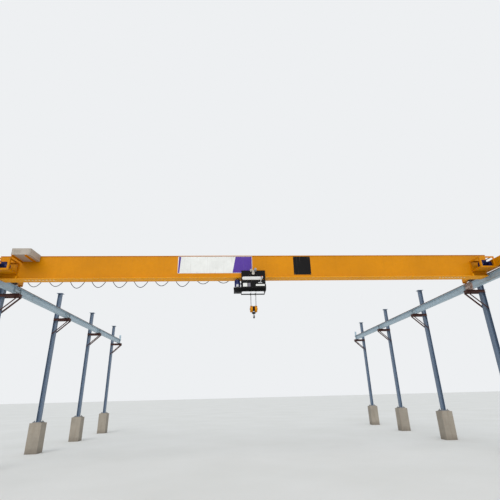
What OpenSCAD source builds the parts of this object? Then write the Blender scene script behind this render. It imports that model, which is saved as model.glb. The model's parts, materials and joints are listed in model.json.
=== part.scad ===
// Single-girder overhead travelling crane on its own runway, in millimetres.
// The origin is on the floor, under the middle of the span and of the runway.
// X runs along the girder, Y along the runway, Z up.

/* [Runway] */
// Distance between the two crane rails, centre to centre
rail_span = 17100; // [14000:50:20000]
// Distance between column lines
bay = 4500; // [4000:50:6000]
// Number of bays
bays = 4; // [3:1:6]
// Height of the bracket seats that carry the runway beams
seat_z = 5670; // [4800:10:8000]
// Length of runway beam past the last column line
beam_overhang = 200; // [180:10:240]
// Depth of a runway beam
beam_h = 250; // [200:10:400]
// Flange width of a runway beam
beam_w = 125; // [110:5:180]
// Web thickness of a runway beam
beam_web = 7; // [5:1:12]
// Flange thickness of a runway beam
beam_flange = 12; // [8:1:16]
// Gap between the ends of two runway beams
beam_gap = 6; // [2:1:10]
// Side of the square rail bar
rail_size = 50; // [40:5:60]
// Chamfer on the two top edges of the rail bar
rail_chamfer = 4; // [2:1:8]
// Length of a splice plate on the beam webs
splice_l = 340; // [240:10:400]
// Height of a splice plate
splice_h = 180; // [120:10:200]
// Thickness of a splice plate
splice_t = 8; // [5:1:12]

/* [Columns] */
// Distance from a rail centre out to the column centre
col_offset = 500; // [450:10:700]
// Column depth across the runway
col_depth = 150; // [120:5:250]
// Column flange width along the runway
col_width = 175; // [120:5:250]
// Column flange thickness
col_flange = 10; // [6:1:16]
// Column web thickness
col_web = 7; // [5:1:12]
// Height of the column tops, under the roof
col_top = 6900; // [6700:10:9000]
// Side of the square base plate
base_plate = 320; // [290:10:400]
// Thickness of the base plate
base_plate_t = 20; // [12:1:30]
// Cap plate length across the runway
cap_x = 270; // [260:10:340]
// Cap plate length along the runway
cap_y = 240; // [220:10:320]
// Thickness of the cap plate
cap_t = 16; // [10:1:25]
// Bolt hole radius in the cap plate
cap_hole_r = 11; // [7:0.5:14]
// Bolt spacing across the runway in the cap plate
cap_bolt_x = 210; // [190:5:220]
// Bolt spacing along the runway in the cap plate
cap_bolt_y = 120; // [80:5:160]
// Height of the concrete pedestal, grout bed included
pedestal_h = 1200; // [600:10:1500]
// Side of the square pedestal
pedestal_w = 500; // [430:10:700]
// Thickness of the grout bed under the base plate
grout_t = 30; // [10:5:50]

/* [Brackets] */
// How far the bracket reaches past the inner edge of the runway beam
bracket_reach = 94; // [40:2:140]
// Height of the two channel arms
arm_h = 100; // [75:5:150]
// Flange width of the channel arms and leg of the strut angles
arm_w = 50; // [40:5:75]
// Thickness of the arm and strut steel
arm_t = 6; // [4:1:10]
// Drop of the diagonal struts, from the arm down to their lowest end
strut_drop = 640; // [500:10:900]
// Thickness of the seat plate and the tip plate
bracket_plate_t = 10; // [6:1:16]

/* [Girder] */
// Position of the girder along the runway, at rest
girder_y = -5670; // [-6200:10:-5200]
// Underside of the girder above the runway rail (below it when negative)
girder_drop = -140; // [-160:5:-100]
// Overall depth of the girder
girder_h = 820; // [750:10:900]
// Width over the two webs
girder_w = 260; // [220:10:300]
// Thickness of the webs
web_t = 8; // [5:1:12]
// Width of the bottom flange, which the hoist runs on
flange_w = 440; // [400:10:460]
// Width of the top flange
top_flange_w = 300; // [280:10:400]
// Thickness of both flanges
flange_t = 12; // [8:1:20]
// How far short of the rail centre the top of the girder ends (past it when negative)
girder_end = -10; // [-40:5:40]
// Thickness of the end plates that close and seat the girder
end_plate_t = 10; // [6:1:16]

/* [End carriages] */
// Length of an end carriage
car_len = 2600; // [2400:50:3200]
// Width of an end carriage box
car_w = 160; // [150:5:200]
// Depth of an end carriage box
car_h = 300; // [280:10:340]
// Wall thickness of an end carriage
car_t = 8; // [5:1:12]
// Clearance between the rail and the carriage box
car_clear = 60; // [50:5:70]
// Distance of a wheel axle from the end of its carriage
wheel_inset = 400; // [350:10:550]
// Tread radius of a crane wheel
wheel_r = 125; // [118:1:130]
// Height of the wheel flanges beyond the tread
wheel_flange_h = 20; // [15:1:25]
// Thickness of each wheel flange
wheel_flange_t = 15; // [10:1:20]
// Side clearance between the rail and each wheel flange
rail_play = 6; // [5:1:10]
// Axle radius
axle_r = 25; // [18:1:30]
// Radius of the bearing housing's flange
housing_r = 70; // [60:1:80]
// Radius of the bearing housing's spigot in the carriage wall
spigot_r = 44; // [36:1:50]
// Radius of the rubber buffers
buffer_r = 45; // [30:1:60]
// Length of the rubber buffers
buffer_l = 70; // [40:5:100]

/* [Travel drives] */
// Width of the motor guard along the girder
guard_w = 540; // [480:10:600]
// Depth of the motor guard, out from the girder web
guard_d = 530; // [460:10:600]
// Height of the motor guard
guard_h = 410; // [360:10:440]
// How far the motor guard hangs below the carriage
guard_drop = 30; // [10:5:40]
// Border round each opening of the motor guard
guard_border = 60; // [50:5:80]
// Plate thickness of the motor guard
guard_t = 5; // [3:1:8]
// Radius of the travel motor
travel_motor_r = 85; // [70:1:100]
// Length of the travel motor with its fan cowl
travel_motor_l = 270; // [220:10:280]

/* [Control panel] */
// Width of the control panel along the girder
panel_w = 590; // [500:5:800]
// Depth of the control panel, out from the girder's top flange
panel_d = 660; // [500:10:800]
// Height of the control panel
panel_h = 220; // [180:5:300]
// Gap between the control panel and the left motor guard
panel_gap = 80; // [60:5:300]
// Panel underside below the top of the girder
panel_drop = 195; // [180:5:240]
// Leg of the two support angles
panel_arm = 50; // [40:5:70]

/* [Hoist] */
// Half the length of the hoist frame along the girder
hoist_half = 410; // [390:5:450]
// Running clearance beside and under the girder flange
hoist_play = 18; // [10:1:25]
// Thickness of the trolley and hoist plates
plate_t = 12; // [8:1:16]
// How far the trolley plates rise above the flange
plate_rise = 218; // [210:1:230]
// How far the trolley plates hang below the flange
plate_hang = 90; // [80:5:130]
// Tread radius of a trolley wheel
trolley_r = 70; // [66:1:74]
// Depth of the drum axis below the flange
drum_drop = 310; // [300:5:315]
// Radius of the drum over its ribs
drum_r = 130; // [110:1:140]
// Pitch of the rope grooves
groove_pitch = 13; // [12:0.5:16]
// Radius of the rope
rope_r = 5; // [4:0.5:6]
// Lowest point of the hoist frame below the flange
frame_drop = 500; // [490:2:540]
// Width of the brake box along the girder
brake_w = 265; // [250:5:300]
// Height of the brake box
brake_h = 160; // [120:5:170]
// Radius of the hoist motor, which stands on the brake box
hoist_motor_r = 98; // [80:1:105]
// Height of the hoist motor
hoist_motor_h = 300; // [240:5:310]

/* [Hook block] */
// Height of the block's sheave axis below the girder, at rest
block_drop = 1060; // [1000:10:1500]
// Radius of the sheave covers
cover_r = 112; // [100:1:125]
// Width of a sheave cover
cover_w = 80; // [70:1:90]
// Width of the yoke between the sheave covers
yoke_w = 80; // [76:1:90]
// Pitch radius of the block sheaves
sheave_r = 85; // [70:1:95]
// Radius of the hook shank
shank_r = 15; // [12:0.5:16]
// Inner radius of the hook bowl
hook_mouth_r = 30; // [26:1:34]
// Largest section radius of the hook
hook_section_r = 17; // [13:0.5:18]

/* [Festoon] */
// Number of cable loops between the end of the girder and the hoist
loops = 10; // [6:1:10]
// Distance of the cable's fixed end from the end of the girder's bottom flange
cable_inset = 560; // [520:10:700]
// Sag of each loop
loop_sag = 400; // [250:10:450]
// Radius of the cable
cable_r = 8; // [6:0.5:10]
// Width and height of the carrier track
track_size = 30; // [26:1:36]
// Length of a cable carrier
carrier_l = 100; // [60:5:120]

/* [Hidden] */

$fn = 48;

// Colours, as the crane is painted
runway_blue = [0.57, 0.64, 0.68];
column_blue = [0.50, 0.58, 0.66];
oxide_brown = [0.27, 0.19, 0.17];
concrete = [0.62, 0.58, 0.53];
crane_yellow = [0.83, 0.55, 0.10];
panel_grey = [0.74, 0.72, 0.66];
machine_black = [0.06, 0.06, 0.07];
motor_blue = [0.07, 0.10, 0.28];
casting_grey = [0.62, 0.63, 0.64];
bare_steel = [0.42, 0.41, 0.40];

// Gap left between rolling parts and what they roll on
rolling_gap = 0.3;
// Radial clearance of a shaft in its bearing
bearing_gap = 0.05;

rail_x = rail_span / 2;
col_x = rail_x + col_offset;
half_run = bays * bay / 2;
beam_end = half_run + beam_overhang;
beam_top = seat_z + beam_h;
rail_top = beam_top + rail_size;

// End stops stand on the beam ends, and the rail stops short of them
stop_l = 160;
stop_h = 330;
stop_t = 12;
rail_end = beam_end - stop_l - 20;

bracket_tip = rail_x - beam_w / 2 - bracket_reach;
bracket_back = col_x + col_depth / 2;
arm_top = seat_z - bracket_plate_t;

girder_bottom = rail_top + girder_drop;
girder_top = girder_bottom + girder_h;
flange_top = girder_bottom + flange_t;
car_bottom = rail_top + car_clear;
car_top = car_bottom + car_h;
car_inner = rail_x - car_w / 2;
axle_z = rail_top + wheel_r + rolling_gap;
notch_x = car_inner - end_plate_t;
notch_z = car_top + end_plate_t;
girder_half = rail_x - girder_end;
wheel_base = car_len - 2 * wheel_inset;
buffer_z = axle_z + 60;
web_front_y = girder_y - girder_w / 2;

guard_bottom = car_bottom - guard_drop;
guard_y = web_front_y - guard_d;
guard_x = car_inner - guard_w;
panel_x = guard_x - panel_gap - panel_w;
panel_bottom = girder_top - panel_drop;
panel_y = girder_y - top_flange_w / 2 - panel_d;

plate_in = flange_w / 2 + 30;
plate_out = plate_in + plate_t;
drum_z = girder_bottom - drum_drop;
frame_bottom = girder_bottom - frame_drop;
frame_top = girder_bottom - hoist_play;
motor_x = -hoist_half - brake_w / 2;
brake_z = frame_bottom + 10;
motor_z = brake_z + brake_h;
fall_x = yoke_w / 2 + cover_w / 2 + 5;
block_z = girder_bottom - block_drop;
shaft_r = 30;

// Depth of the rope slots in the sheave covers, and the height of the crosshead
slot_depth = 75;
yoke_bottom = block_z - 160;
crosshead_h = 40;
pin_r = 18;

track_y = girder_y + flange_w / 2 + 100;
track_z = flange_top + plate_rise + 30;
cable_z = track_z - 80;
tow_x = hoist_half + brake_w + 25;
clamp_l = 24;
cable_start_x = notch_x - cable_inset;

function line_y(i) = (i - bays / 2) * bay;

module left() {
    mirror([1, 0, 0]) children();
}

module both_sides() {
    children();
    left() children();
}

module at_each_line() {
    for (i = [0 : bays])
        translate([0, line_y(i), 0]) children();
}

// A rectangle centred on the origin with round corners
module round_rect(w, h, r) {
    square([w - 2 * r, h], center = true);
    square([w, h - 2 * r], center = true);
    for (sx = [-1, 1], sy = [-1, 1])
        translate([sx * (w / 2 - r), sy * (h / 2 - r)]) circle(r);
}

// An I-shape centred on the origin, with its flanges above and below
module i_profile(depth, width, web, flange) {
    square([web, depth], center = true);
    for (s = [-1, 1])
        translate([0, s * (depth - flange) / 2]) square([width, flange], center = true);
}

// A horizontal bar along Y whose outline is drawn in X and Z
module along_y(y0, y1) {
    translate([0, y1, 0]) rotate([90, 0, 0]) linear_extrude(y1 - y0) children();
}

// A horizontal bar along X whose outline is drawn in Y and Z
module along_x(x0, x1) {
    translate([x0, 0, 0]) rotate([90, 0, 90]) linear_extrude(x1 - x0) children();
}

// A plate in X and Z with a rectangular hole inside a border
module frame_face(w, h, border, t) {
    difference() {
        cube([w, t, h]);
        translate([border, -1, border]) cube([w - 2 * border, t + 2, h - 2 * border]);
    }
}

// Concrete pedestals with their grout beds

module pedestal_row() {
    grout_margin = 20;
    grout_w = base_plate + 2 * grout_margin;
    color(concrete) at_each_line() {
        translate([col_x - pedestal_w / 2, -pedestal_w / 2, 0])
            cube([pedestal_w, pedestal_w, pedestal_h - grout_t]);
        translate([col_x - grout_w / 2, -grout_w / 2, pedestal_h - grout_t - 1])
            cube([grout_w, grout_w, grout_t + 1]);
    }
}

module pedestals() { both_sides() pedestal_row(); }

// Columns with a base plate and a drilled cap plate

module column() {
    translate([-base_plate / 2, -base_plate / 2, pedestal_h])
        cube([base_plate, base_plate, base_plate_t]);
    translate([0, 0, pedestal_h + base_plate_t - 1])
        linear_extrude(col_top - cap_t - pedestal_h - base_plate_t + 2)
            rotate(90) i_profile(col_depth, col_width, col_web, col_flange);
    difference() {
        translate([-cap_x / 2, -cap_y / 2, col_top - cap_t]) cube([cap_x, cap_y, cap_t]);
        for (sx = [-1, 1], sy = [-1, 1])
            translate([sx * cap_bolt_x / 2, sy * cap_bolt_y / 2, col_top - cap_t - 1])
                cylinder(r = cap_hole_r, h = cap_t + 2);
    }
}

module column_row() {
    color(column_blue) at_each_line() translate([col_x, 0, 0]) column();
}

module columns() { both_sides() column_row(); }

// Brackets: two channel arms and two angle struts, one pair on each side of the column

module bracket_arm() {
    along_x(bracket_tip, bracket_back) translate([col_width / 2, arm_top - arm_h]) {
        square([arm_t, arm_h]);
        square([arm_w, arm_t]);
        translate([0, arm_h - arm_t]) square([arm_w, arm_t]);
    }
}

module bracket_strut() {
    tip_in = 6;
    leg = arm_w - 4;
    run = bracket_back - bracket_tip - arm_w;
    angle = atan2(strut_drop, run);
    length = norm([strut_drop, run]);
    arm_bottom = arm_top - arm_h;
    reach = 2 * strut_drop;
    difference() {
        translate([bracket_tip + tip_in, col_width / 2, arm_bottom]) rotate([0, angle, 0]) {
            translate([-leg, 0, 0]) cube([length + leg, arm_t, leg]);
            translate([-leg, 0, 0]) cube([length + leg, leg, arm_t]);
        }
        translate([bracket_tip - reach, 0, arm_bottom]) cube([2 * reach, reach, reach]);
    }
}

module bracket() {
    half = col_width / 2 + arm_w;
    for (s = [0, 1]) mirror([0, s, 0]) {
        bracket_arm();
        bracket_strut();
    }
    translate([bracket_tip, -half, arm_top - 1])
        cube([beam_w + 2 * bracket_reach, 2 * half, bracket_plate_t + 1]);
    translate([bracket_tip, -col_width / 2 - 1, arm_top - arm_h])
        cube([bracket_plate_t, col_width + 2, arm_h]);
}

module bracket_row() {
    color(oxide_brown) at_each_line() bracket();
}

module brackets() { both_sides() bracket_row(); }

// Runway beams, one to a bay, with a stiffener over each bracket

module beam(y0, y1) {
    stiff_t = 8;
    inset = splice_l / 2 + 20;
    translate([rail_x, 0, seat_z + beam_h / 2]) {
        along_y(y0, y1) i_profile(beam_h, beam_w, beam_web, beam_flange);
        for (y = [y0 + inset, y1 - inset - stiff_t])
            translate([-(beam_w - 10) / 2, y, -beam_h / 2 + beam_flange - 1])
                cube([beam_w - 10, stiff_t, beam_h - 2 * beam_flange + 2]);
    }
}

module beam_row() {
    color(runway_blue) for (i = [0 : bays - 1])
        beam(i == 0 ? -beam_end : line_y(i) + beam_gap / 2,
             i == bays - 1 ? beam_end : line_y(i + 1) - beam_gap / 2);
}

module runway_beams() { both_sides() beam_row(); }

// Splice plates on both sides of the web, over each gap between beams

module splice_row() {
    color(runway_blue) for (i = [1 : bays - 1], s = [-1, 1])
        translate([rail_x + s * (beam_web + splice_t) / 2, line_y(i), seat_z + beam_h / 2])
            cube([splice_t, splice_l, splice_h], center = true);
}

module splice_plates() { both_sides() splice_row(); }

// Square rail bars on the beams

module rail_bar() {
    half = rail_size / 2;
    color(bare_steel) translate([rail_x, 0, beam_top]) along_y(-rail_end, rail_end) polygon([
        [-half, 0], [half, 0],
        [half, rail_size - rail_chamfer], [half - rail_chamfer, rail_size],
        [rail_chamfer - half, rail_size], [-half, rail_size - rail_chamfer]
    ]);
}

module rails() { both_sides() rail_bar(); }

// End stops: an upright plate with a rib behind it and a rubber face

module end_stop() {
    pad_t = 15;
    half = beam_w / 2;
    y0 = beam_end - stop_l;
    translate([rail_x - half, y0, beam_top]) cube([beam_w, stop_l, stop_t]);
    translate([rail_x - half, y0 + pad_t, beam_top]) cube([beam_w, stop_t, stop_h]);
    translate([rail_x - stop_t / 2, y0 + pad_t + stop_t, beam_top + stop_t])
        rotate([90, 0, 90]) linear_extrude(stop_t)
            polygon([[-1, -1], [stop_l - pad_t - stop_t - 10, -1], [-1, stop_h - stop_t - 40]]);
    translate([rail_x, y0 + pad_t + 1, buffer_z]) rotate([90, 0, 0])
        cylinder(r = beam_w / 2 - 10, h = pad_t + 1);
}

module end_stops() {
    color(runway_blue) both_sides() for (s = [0, 1]) mirror([0, s, 0]) end_stop();
}

// Girder: two webs between a top and a bottom flange, notched over the carriages

module girder_web(y) {
    color(crane_yellow) along_y(y, y + web_t) polygon([
        [-girder_half, notch_z], [-notch_x, notch_z], [-notch_x, flange_top],
        [notch_x, flange_top], [notch_x, notch_z], [girder_half, notch_z],
        [girder_half, girder_top - flange_t], [-girder_half, girder_top - flange_t]
    ]);
}

module front_web() { girder_web(web_front_y); }
module back_web() { girder_web(girder_y + girder_w / 2 - web_t); }

module top_flange() {
    color(crane_yellow)
        translate([-girder_half - end_plate_t, girder_y - top_flange_w / 2, girder_top - flange_t])
            cube([2 * (girder_half + end_plate_t), top_flange_w, flange_t]);
}

// The bottom flange carries the hoist, with a stop block at each end of its ledges

module bottom_flange() {
    block = 40;
    ledge_y = (flange_w + girder_w + 20) / 4;
    color(crane_yellow) {
        translate([-notch_x, girder_y - flange_w / 2, girder_bottom])
            cube([2 * notch_x, flange_w, flange_t]);
        for (sx = [-1, 1], sy = [-1, 1])
            translate([sx * cable_start_x - block / 2, girder_y + sy * ledge_y - block / 2, flange_top - 1])
                cube([block, block, 2 * block]);
    }
}

// End plates: an upright bolted to the carriage, a seat on its top and a closing plate

module end_plate() {
    half = girder_w / 2;
    translate([notch_x, girder_y - half, girder_bottom])
        cube([end_plate_t, girder_w, notch_z - girder_bottom]);
    translate([notch_x, girder_y - half, car_top])
        cube([girder_half - notch_x + end_plate_t, girder_w, end_plate_t]);
    translate([girder_half, girder_y - half, car_top])
        cube([end_plate_t, girder_w, girder_top - flange_t - car_top]);
}

module girder_end_plates() {
    color(crane_yellow) both_sides() end_plate();
}

// End carriages: box sections with wheel slots, wheel bores and deep end plates

module end_carriage() {
    y0 = girder_y - car_len / 2;
    slot = wheel_r + wheel_flange_h + 15;
    sweep_z = rail_top + 15;
    plate_w = car_w + 20;
    corner = 20;
    color(crane_yellow) {
        difference() {
            translate([car_inner, y0, car_bottom]) cube([car_w, car_len, car_h]);
            translate([car_inner + car_t, y0 - 1, car_bottom + car_t])
                cube([car_w - 2 * car_t, car_len + 2, car_h - 2 * car_t]);
            for (s = [-1, 1]) translate([rail_x, girder_y + s * wheel_base / 2, 0]) {
                translate([-car_w / 2 + car_t, -slot, car_bottom - 1])
                    cube([car_w - 2 * car_t, 2 * slot, car_t + 2]);
                translate([-car_w, 0, axle_z]) rotate([0, 90, 0])
                    cylinder(r = spigot_r + bearing_gap, h = 2 * car_w);
            }
        }
        for (y = [y0 - end_plate_t, y0 + car_len])
            translate([rail_x, 0, (sweep_z + car_top) / 2]) along_y(y, y + end_plate_t)
                round_rect(plate_w, car_top - sweep_z, corner);
    }
}

module left_end_carriage() { left() end_carriage(); }
module right_end_carriage() { end_carriage(); }

// Bearing housings: a flange outside each carriage wall and a bored spigot inside it

module bearing_housing() {
    flange = 16;
    depth = 10;
    difference() {
        union() {
            cylinder(r = housing_r, h = flange);
            translate([0, 0, -car_t - 4]) cylinder(r = spigot_r, h = car_t + 5);
        }
        translate([0, 0, -car_t - 5]) cylinder(r = axle_r + bearing_gap, h = car_t + 5 + depth);
    }
}

module bearing_housings() {
    color(crane_yellow)
        for (sx = [-1, 1], sy = [-1, 1], side = [-1, 1])
            translate([sx * rail_x + side * car_w / 2, girder_y + sy * wheel_base / 2, axle_z])
                rotate([0, side * 90, 0]) bearing_housing();
}

// Rubber buffers on steel discs, at both ends of each carriage

module buffer() {
    disc_t = 10;
    cylinder(r = buffer_r + 8, h = disc_t);
    translate([0, 0, disc_t - 1]) cylinder(r = buffer_r, h = buffer_l - disc_t - 9);
    translate([0, 0, buffer_l - 10.5]) cylinder(r1 = buffer_r, r2 = buffer_r - 10, h = 10.5);
}

module buffers() {
    reach = car_len / 2 + end_plate_t;
    color(machine_black)
        for (sx = [-1, 1], sy = [-1, 1])
            translate([sx * rail_x, girder_y + sy * reach, buffer_z])
                rotate([-sy * 90, 0, 0]) buffer();
}

// Double-flanged crane wheel on its axle

module crane_wheel(sx, sy) {
    tread = rail_size + 2 * rail_play;
    face = tread / 2 + wheel_flange_t;
    flange_r = wheel_r + wheel_flange_h;
    hub_r = axle_r + 28;
    rim = 22;
    dish = 14;
    axle_half = car_w / 2 + 8;
    color(machine_black)
        translate([sx * rail_x, girder_y + sy * wheel_base / 2, axle_z]) rotate([0, 90, 0])
            rotate_extrude($fn = 96) polygon([
                [0, -axle_half], [axle_r, -axle_half], [axle_r, -face], [hub_r, -face],
                [hub_r + dish, dish - face], [wheel_r - rim, dish - face], [wheel_r - rim + dish, -face],
                [flange_r, -face], [flange_r, 6 - face], [wheel_r, -tread / 2],
                [wheel_r, tread / 2], [flange_r, face - 6], [flange_r, face],
                [wheel_r - rim + dish, face], [wheel_r - rim, face - dish], [hub_r + dish, face - dish],
                [hub_r, face], [axle_r, face], [axle_r, axle_half], [0, axle_half]
            ]);
}

module wheel_left_front() { crane_wheel(-1, -1); }
module wheel_right_front() { crane_wheel(1, -1); }
module wheel_left_back() { crane_wheel(-1, 1); }
module wheel_right_back() { crane_wheel(1, 1); }

// Motor guards: closed underneath, with a framed opening in front, inside and on top

module motor_guard() {
    color(crane_yellow) translate([guard_x, guard_y, guard_bottom]) {
        cube([guard_w, guard_d, guard_t]);
        frame_face(guard_w, guard_h, guard_border, guard_t);
        translate([guard_t, 0, 0]) rotate([0, 0, 90])
            frame_face(guard_d, guard_h, guard_border, guard_t);
        translate([0, 0, guard_h]) rotate([-90, 0, 0])
            frame_face(guard_w, guard_d, guard_border, guard_t);
    }
}

module left_motor_guard() { left() motor_guard(); }
module right_motor_guard() { motor_guard(); }

// Travel motors: gearbox on the carriage, finned motor and fan cowl inside the guard

module travel_motor() {
    box_l = 120;
    fins = 16;
    fin_h = 8;
    fin_t = 4;
    cowl_l = 60;
    box_w = 2 * travel_motor_r + 20;
    box_d = 2 * travel_motor_r + 40;
    terminal = [50, 90, 100];
    z = car_bottom + 155;
    color(motor_blue) translate([car_inner, web_front_y - guard_d / 2, z]) rotate([0, -90, 0]) {
        linear_extrude(box_l) round_rect(box_w, box_d, 25);
        translate([0, 0, box_l - 1]) cylinder(r = travel_motor_r - fin_h, h = travel_motor_l - cowl_l + 1);
        for (i = [0 : fins - 1]) rotate([0, 0, i * 360 / fins])
            translate([travel_motor_r - fin_h - 2, -fin_t / 2, box_l - 1])
                cube([fin_h + 2, fin_t, travel_motor_l - cowl_l - 20]);
        translate([0, 0, box_l + travel_motor_l - cowl_l - 1]) cylinder(r = travel_motor_r, h = cowl_l + 1);
        translate([travel_motor_r - 20, -terminal[1] / 2, box_l + 30]) cube(terminal);
    }
}

module travel_motors() {
    both_sides() travel_motor();
}

// Control panel: a flat cabinet with a raised door and a vent flap

module control_panel() {
    lip = 4;
    door_inset = 18;
    flap_w = 240;
    flap_h = 100;
    flap_in = 50;
    slats = 5;
    slot_h = 8;
    slot_in = 20;
    color(panel_grey) translate([-panel_x - panel_w, panel_y, panel_bottom]) {
        cube([panel_w, panel_d, panel_h]);
        translate([door_inset, -lip, door_inset])
            cube([panel_w - 2 * door_inset, lip + 1, panel_h - 2 * door_inset]);
        translate([flap_in, -2 * lip, (panel_h - flap_h) / 2]) difference() {
            cube([flap_w, lip + 1, flap_h]);
            for (i = [0 : slats - 1])
                translate([slot_in, -1, 14 + i * (flap_h - slot_in) / slats])
                    cube([flap_w - 2 * slot_in, lip, slot_h]);
        }
    }
}

module panel_arm_bar() {
    t = 6;
    translate([0, panel_y, panel_bottom]) {
        translate([0, 0, -t]) cube([panel_arm, web_front_y - panel_y, t]);
        translate([0, 0, -panel_arm]) cube([t, web_front_y - panel_y, panel_arm]);
    }
}

module panel_arms() {
    left_in = 15;
    right_in = 105;
    color(crane_yellow) {
        translate([-panel_x - panel_w + left_in, 0, 0]) panel_arm_bar();
        translate([-panel_x - right_in - panel_arm, 0, 0]) panel_arm_bar();
    }
}

// Festoon: a C-track on flat brackets behind the girder, cable carriers and the looped cable

module festoon_track() {
    t = 3;
    lip = 8;
    half = track_size / 2;
    brackets = 8;
    bracket_w = 30;
    bracket_t = 6;
    start = -cable_start_x - 60;
    finish = cable_start_x - 250;
    color(casting_grey) {
        along_x(start, finish) translate([track_y, track_z]) difference() {
            translate([-half, 0]) square([track_size, track_size]);
            translate([t - half, t]) square([track_size - 2 * t, track_size - 2 * t]);
            translate([lip - half, -1]) square([track_size - 2 * lip, t + 2]);
        }
        for (i = [0 : brackets - 1])
            translate([start + 100 + i * (finish - start - 200 - bracket_w) / (brackets - 1),
                       girder_y + girder_w / 2, track_z + track_size - 1])
                cube([bracket_w, track_y - girder_y - girder_w / 2 + half, bracket_t]);
    }
}

// The cable runs level through its carriers and through the clamp of the tow arm
level_l = carrier_l + 10;
tow_clamp_x = -tow_x - clamp_l / 2;
loop_pitch = (cable_start_x + tow_clamp_x - 5 + level_l / 2) / loops;
function carrier_x(i) = -cable_start_x + i * loop_pitch;
head_gap = 0.3;

module cable_saddle() {
    saddle_r = cable_r + 6;
    neck = 8;
    translate([-carrier_l / 2, 0, cable_z]) rotate([90, 0, 90]) linear_extrude(carrier_l) difference() {
        circle(saddle_r);
        circle(cable_r + head_gap);
        translate([-2 * saddle_r, -2 * saddle_r]) square([4 * saddle_r, 2 * saddle_r - cable_r / 2]);
    }
    translate([-carrier_l / 4, -neck / 2, cable_z + cable_r + 2])
        cube([carrier_l / 2, neck, track_z + head_gap + 2 - cable_z - cable_r]);
}

module festoon_carriers() {
    color(machine_black) for (i = [0 : loops - 1]) translate([carrier_x(i), track_y, 0]) {
        cable_saddle();
        translate([-carrier_l / 2, -8.5, track_z + head_gap + 3]) cube([carrier_l, 17, 12]);
    }
}

// The cable hangs in equal loops and ends at the tow arm of the hoist

steps = 9;
rings_per_loop = steps + 1;
cable_sides = 8;
tow_y = girder_y + plate_out + 20;
function loop_point(i, t) = [
    carrier_x(i) + level_l / 2 + t * (loop_pitch - level_l),
    track_y + (tow_y - track_y) * (i == loops - 1 ? t : 0),
    cable_z - loop_sag * 4 * t * (1 - t)
];
function cable_count() = loops * rings_per_loop + 1;
function cable_point(k) =
    k == 0 ? [-cable_start_x - level_l / 2, track_y, cable_z]
    : k == cable_count() ? [tow_clamp_x + clamp_l + 5, tow_y, cable_z]
    : loop_point(floor((k - 1) / rings_per_loop), (k - 1) % rings_per_loop / steps);
function ring(k) =
    let (
        a = cable_point(max(k - 1, 0)),
        b = cable_point(min(k + 1, cable_count())),
        d = (b - a) / norm(b - a),
        side = [0, 1, 0],
        up = cross(d, side) / norm(cross(d, side))
    )
    [for (j = [0 : cable_sides - 1])
        cable_point(k) + cable_r * (cos(j * 360 / cable_sides) * side + sin(j * 360 / cable_sides) * up)];

module festoon_cable() {
    n = cable_sides;
    rings = cable_count();
    points = [for (k = [0 : rings]) each ring(k)];
    walls = [for (k = [0 : rings - 1], j = [0 : n - 1])
        [k * n + j, k * n + (j + 1) % n, (k + 1) * n + (j + 1) % n, (k + 1) * n + j]];
    caps = [[for (j = [n - 1 : -1 : 0]) j], [for (j = [0 : n - 1]) rings * n + j]];
    color(machine_black) polyhedron(points, concat(walls, caps));
}

// Trolley side plates, which reach round the flange

module trolley_plates() {
    z0 = girder_bottom - plate_hang;
    z1 = flange_top + plate_rise;
    color(machine_black)
        for (y = [girder_y - plate_out, girder_y + plate_in])
            translate([0, 0, (z0 + z1) / 2]) along_y(y, y + plate_t)
                round_rect(2 * hoist_half, z1 - z0, 14);
}

// Spur gear outline with straight-sided teeth

module gear(teeth, h) {
    pitch_r = gear_m * teeth / 2;
    root_r = pitch_r - 1.25 * gear_m;
    tip_r = pitch_r + 0.8 * gear_m;
    tooth = 180 / teeth;
    linear_extrude(h) union() {
        circle(root_r, $fn = 2 * teeth);
        for (i = [0 : teeth - 1]) rotate(i * 360 / teeth) polygon([
            [root_r - 1, -root_r * sin(0.62 * tooth)], [tip_r, -tip_r * sin(0.22 * tooth)],
            [tip_r, tip_r * sin(0.22 * tooth)], [root_r - 1, root_r * sin(0.62 * tooth)]
        ]);
    }
}

// The pinion meshes with both driven wheels and has a tooth that points straight up
gear_m = 4;
wheel_teeth = 40;
pinion_teeth = 18;
trolley_axle_x = 115;
trolley_axle_z = flange_top + trolley_r + rolling_gap;
gear_centres = gear_m * (wheel_teeth + pinion_teeth) / 2;
gear_slope = acos(trolley_axle_x / gear_centres);
pinion_z = trolley_axle_z + gear_centres * sin(gear_slope);
pinion_pitch = 360 / pinion_teeth;
tooth_lead = 90 + gear_slope - round((90 + gear_slope) / pinion_pitch) * pinion_pitch;
wheel_turn = 180 - gear_slope - tooth_lead * pinion_teeth / wheel_teeth + 180 / wheel_teeth;
gear_w = 18;
gear_y = flange_w / 2 + 6;

module trolley_wheel(geared) {
    tread_in = girder_w / 2 + 14;
    tread_out = flange_w / 2 - 6;
    hub_r = 24;
    rotate([90, 0, 0]) {
        translate([0, 0, tread_in]) cylinder(r = trolley_r, h = tread_out - tread_in, $fn = 72);
        translate([0, 0, tread_out - 1]) cylinder(r = hub_r, h = plate_in - tread_out + 1);
        if (geared) translate([0, 0, gear_y]) rotate(wheel_turn) gear(wheel_teeth, gear_w);
    }
}

module trolley_wheels() {
    color(bare_steel) both_sides()
        translate([trolley_axle_x, girder_y, trolley_axle_z]) {
            trolley_wheel(true);
            mirror([0, 1, 0]) trolley_wheel(false);
        }
}

// Cross-travel drive: pinion behind the front plate, cast gearbox before it

case_t = 45;
lobe_r = 50;
lobe_x = 66;
case_z = flange_top + plate_rise - 7;

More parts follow.
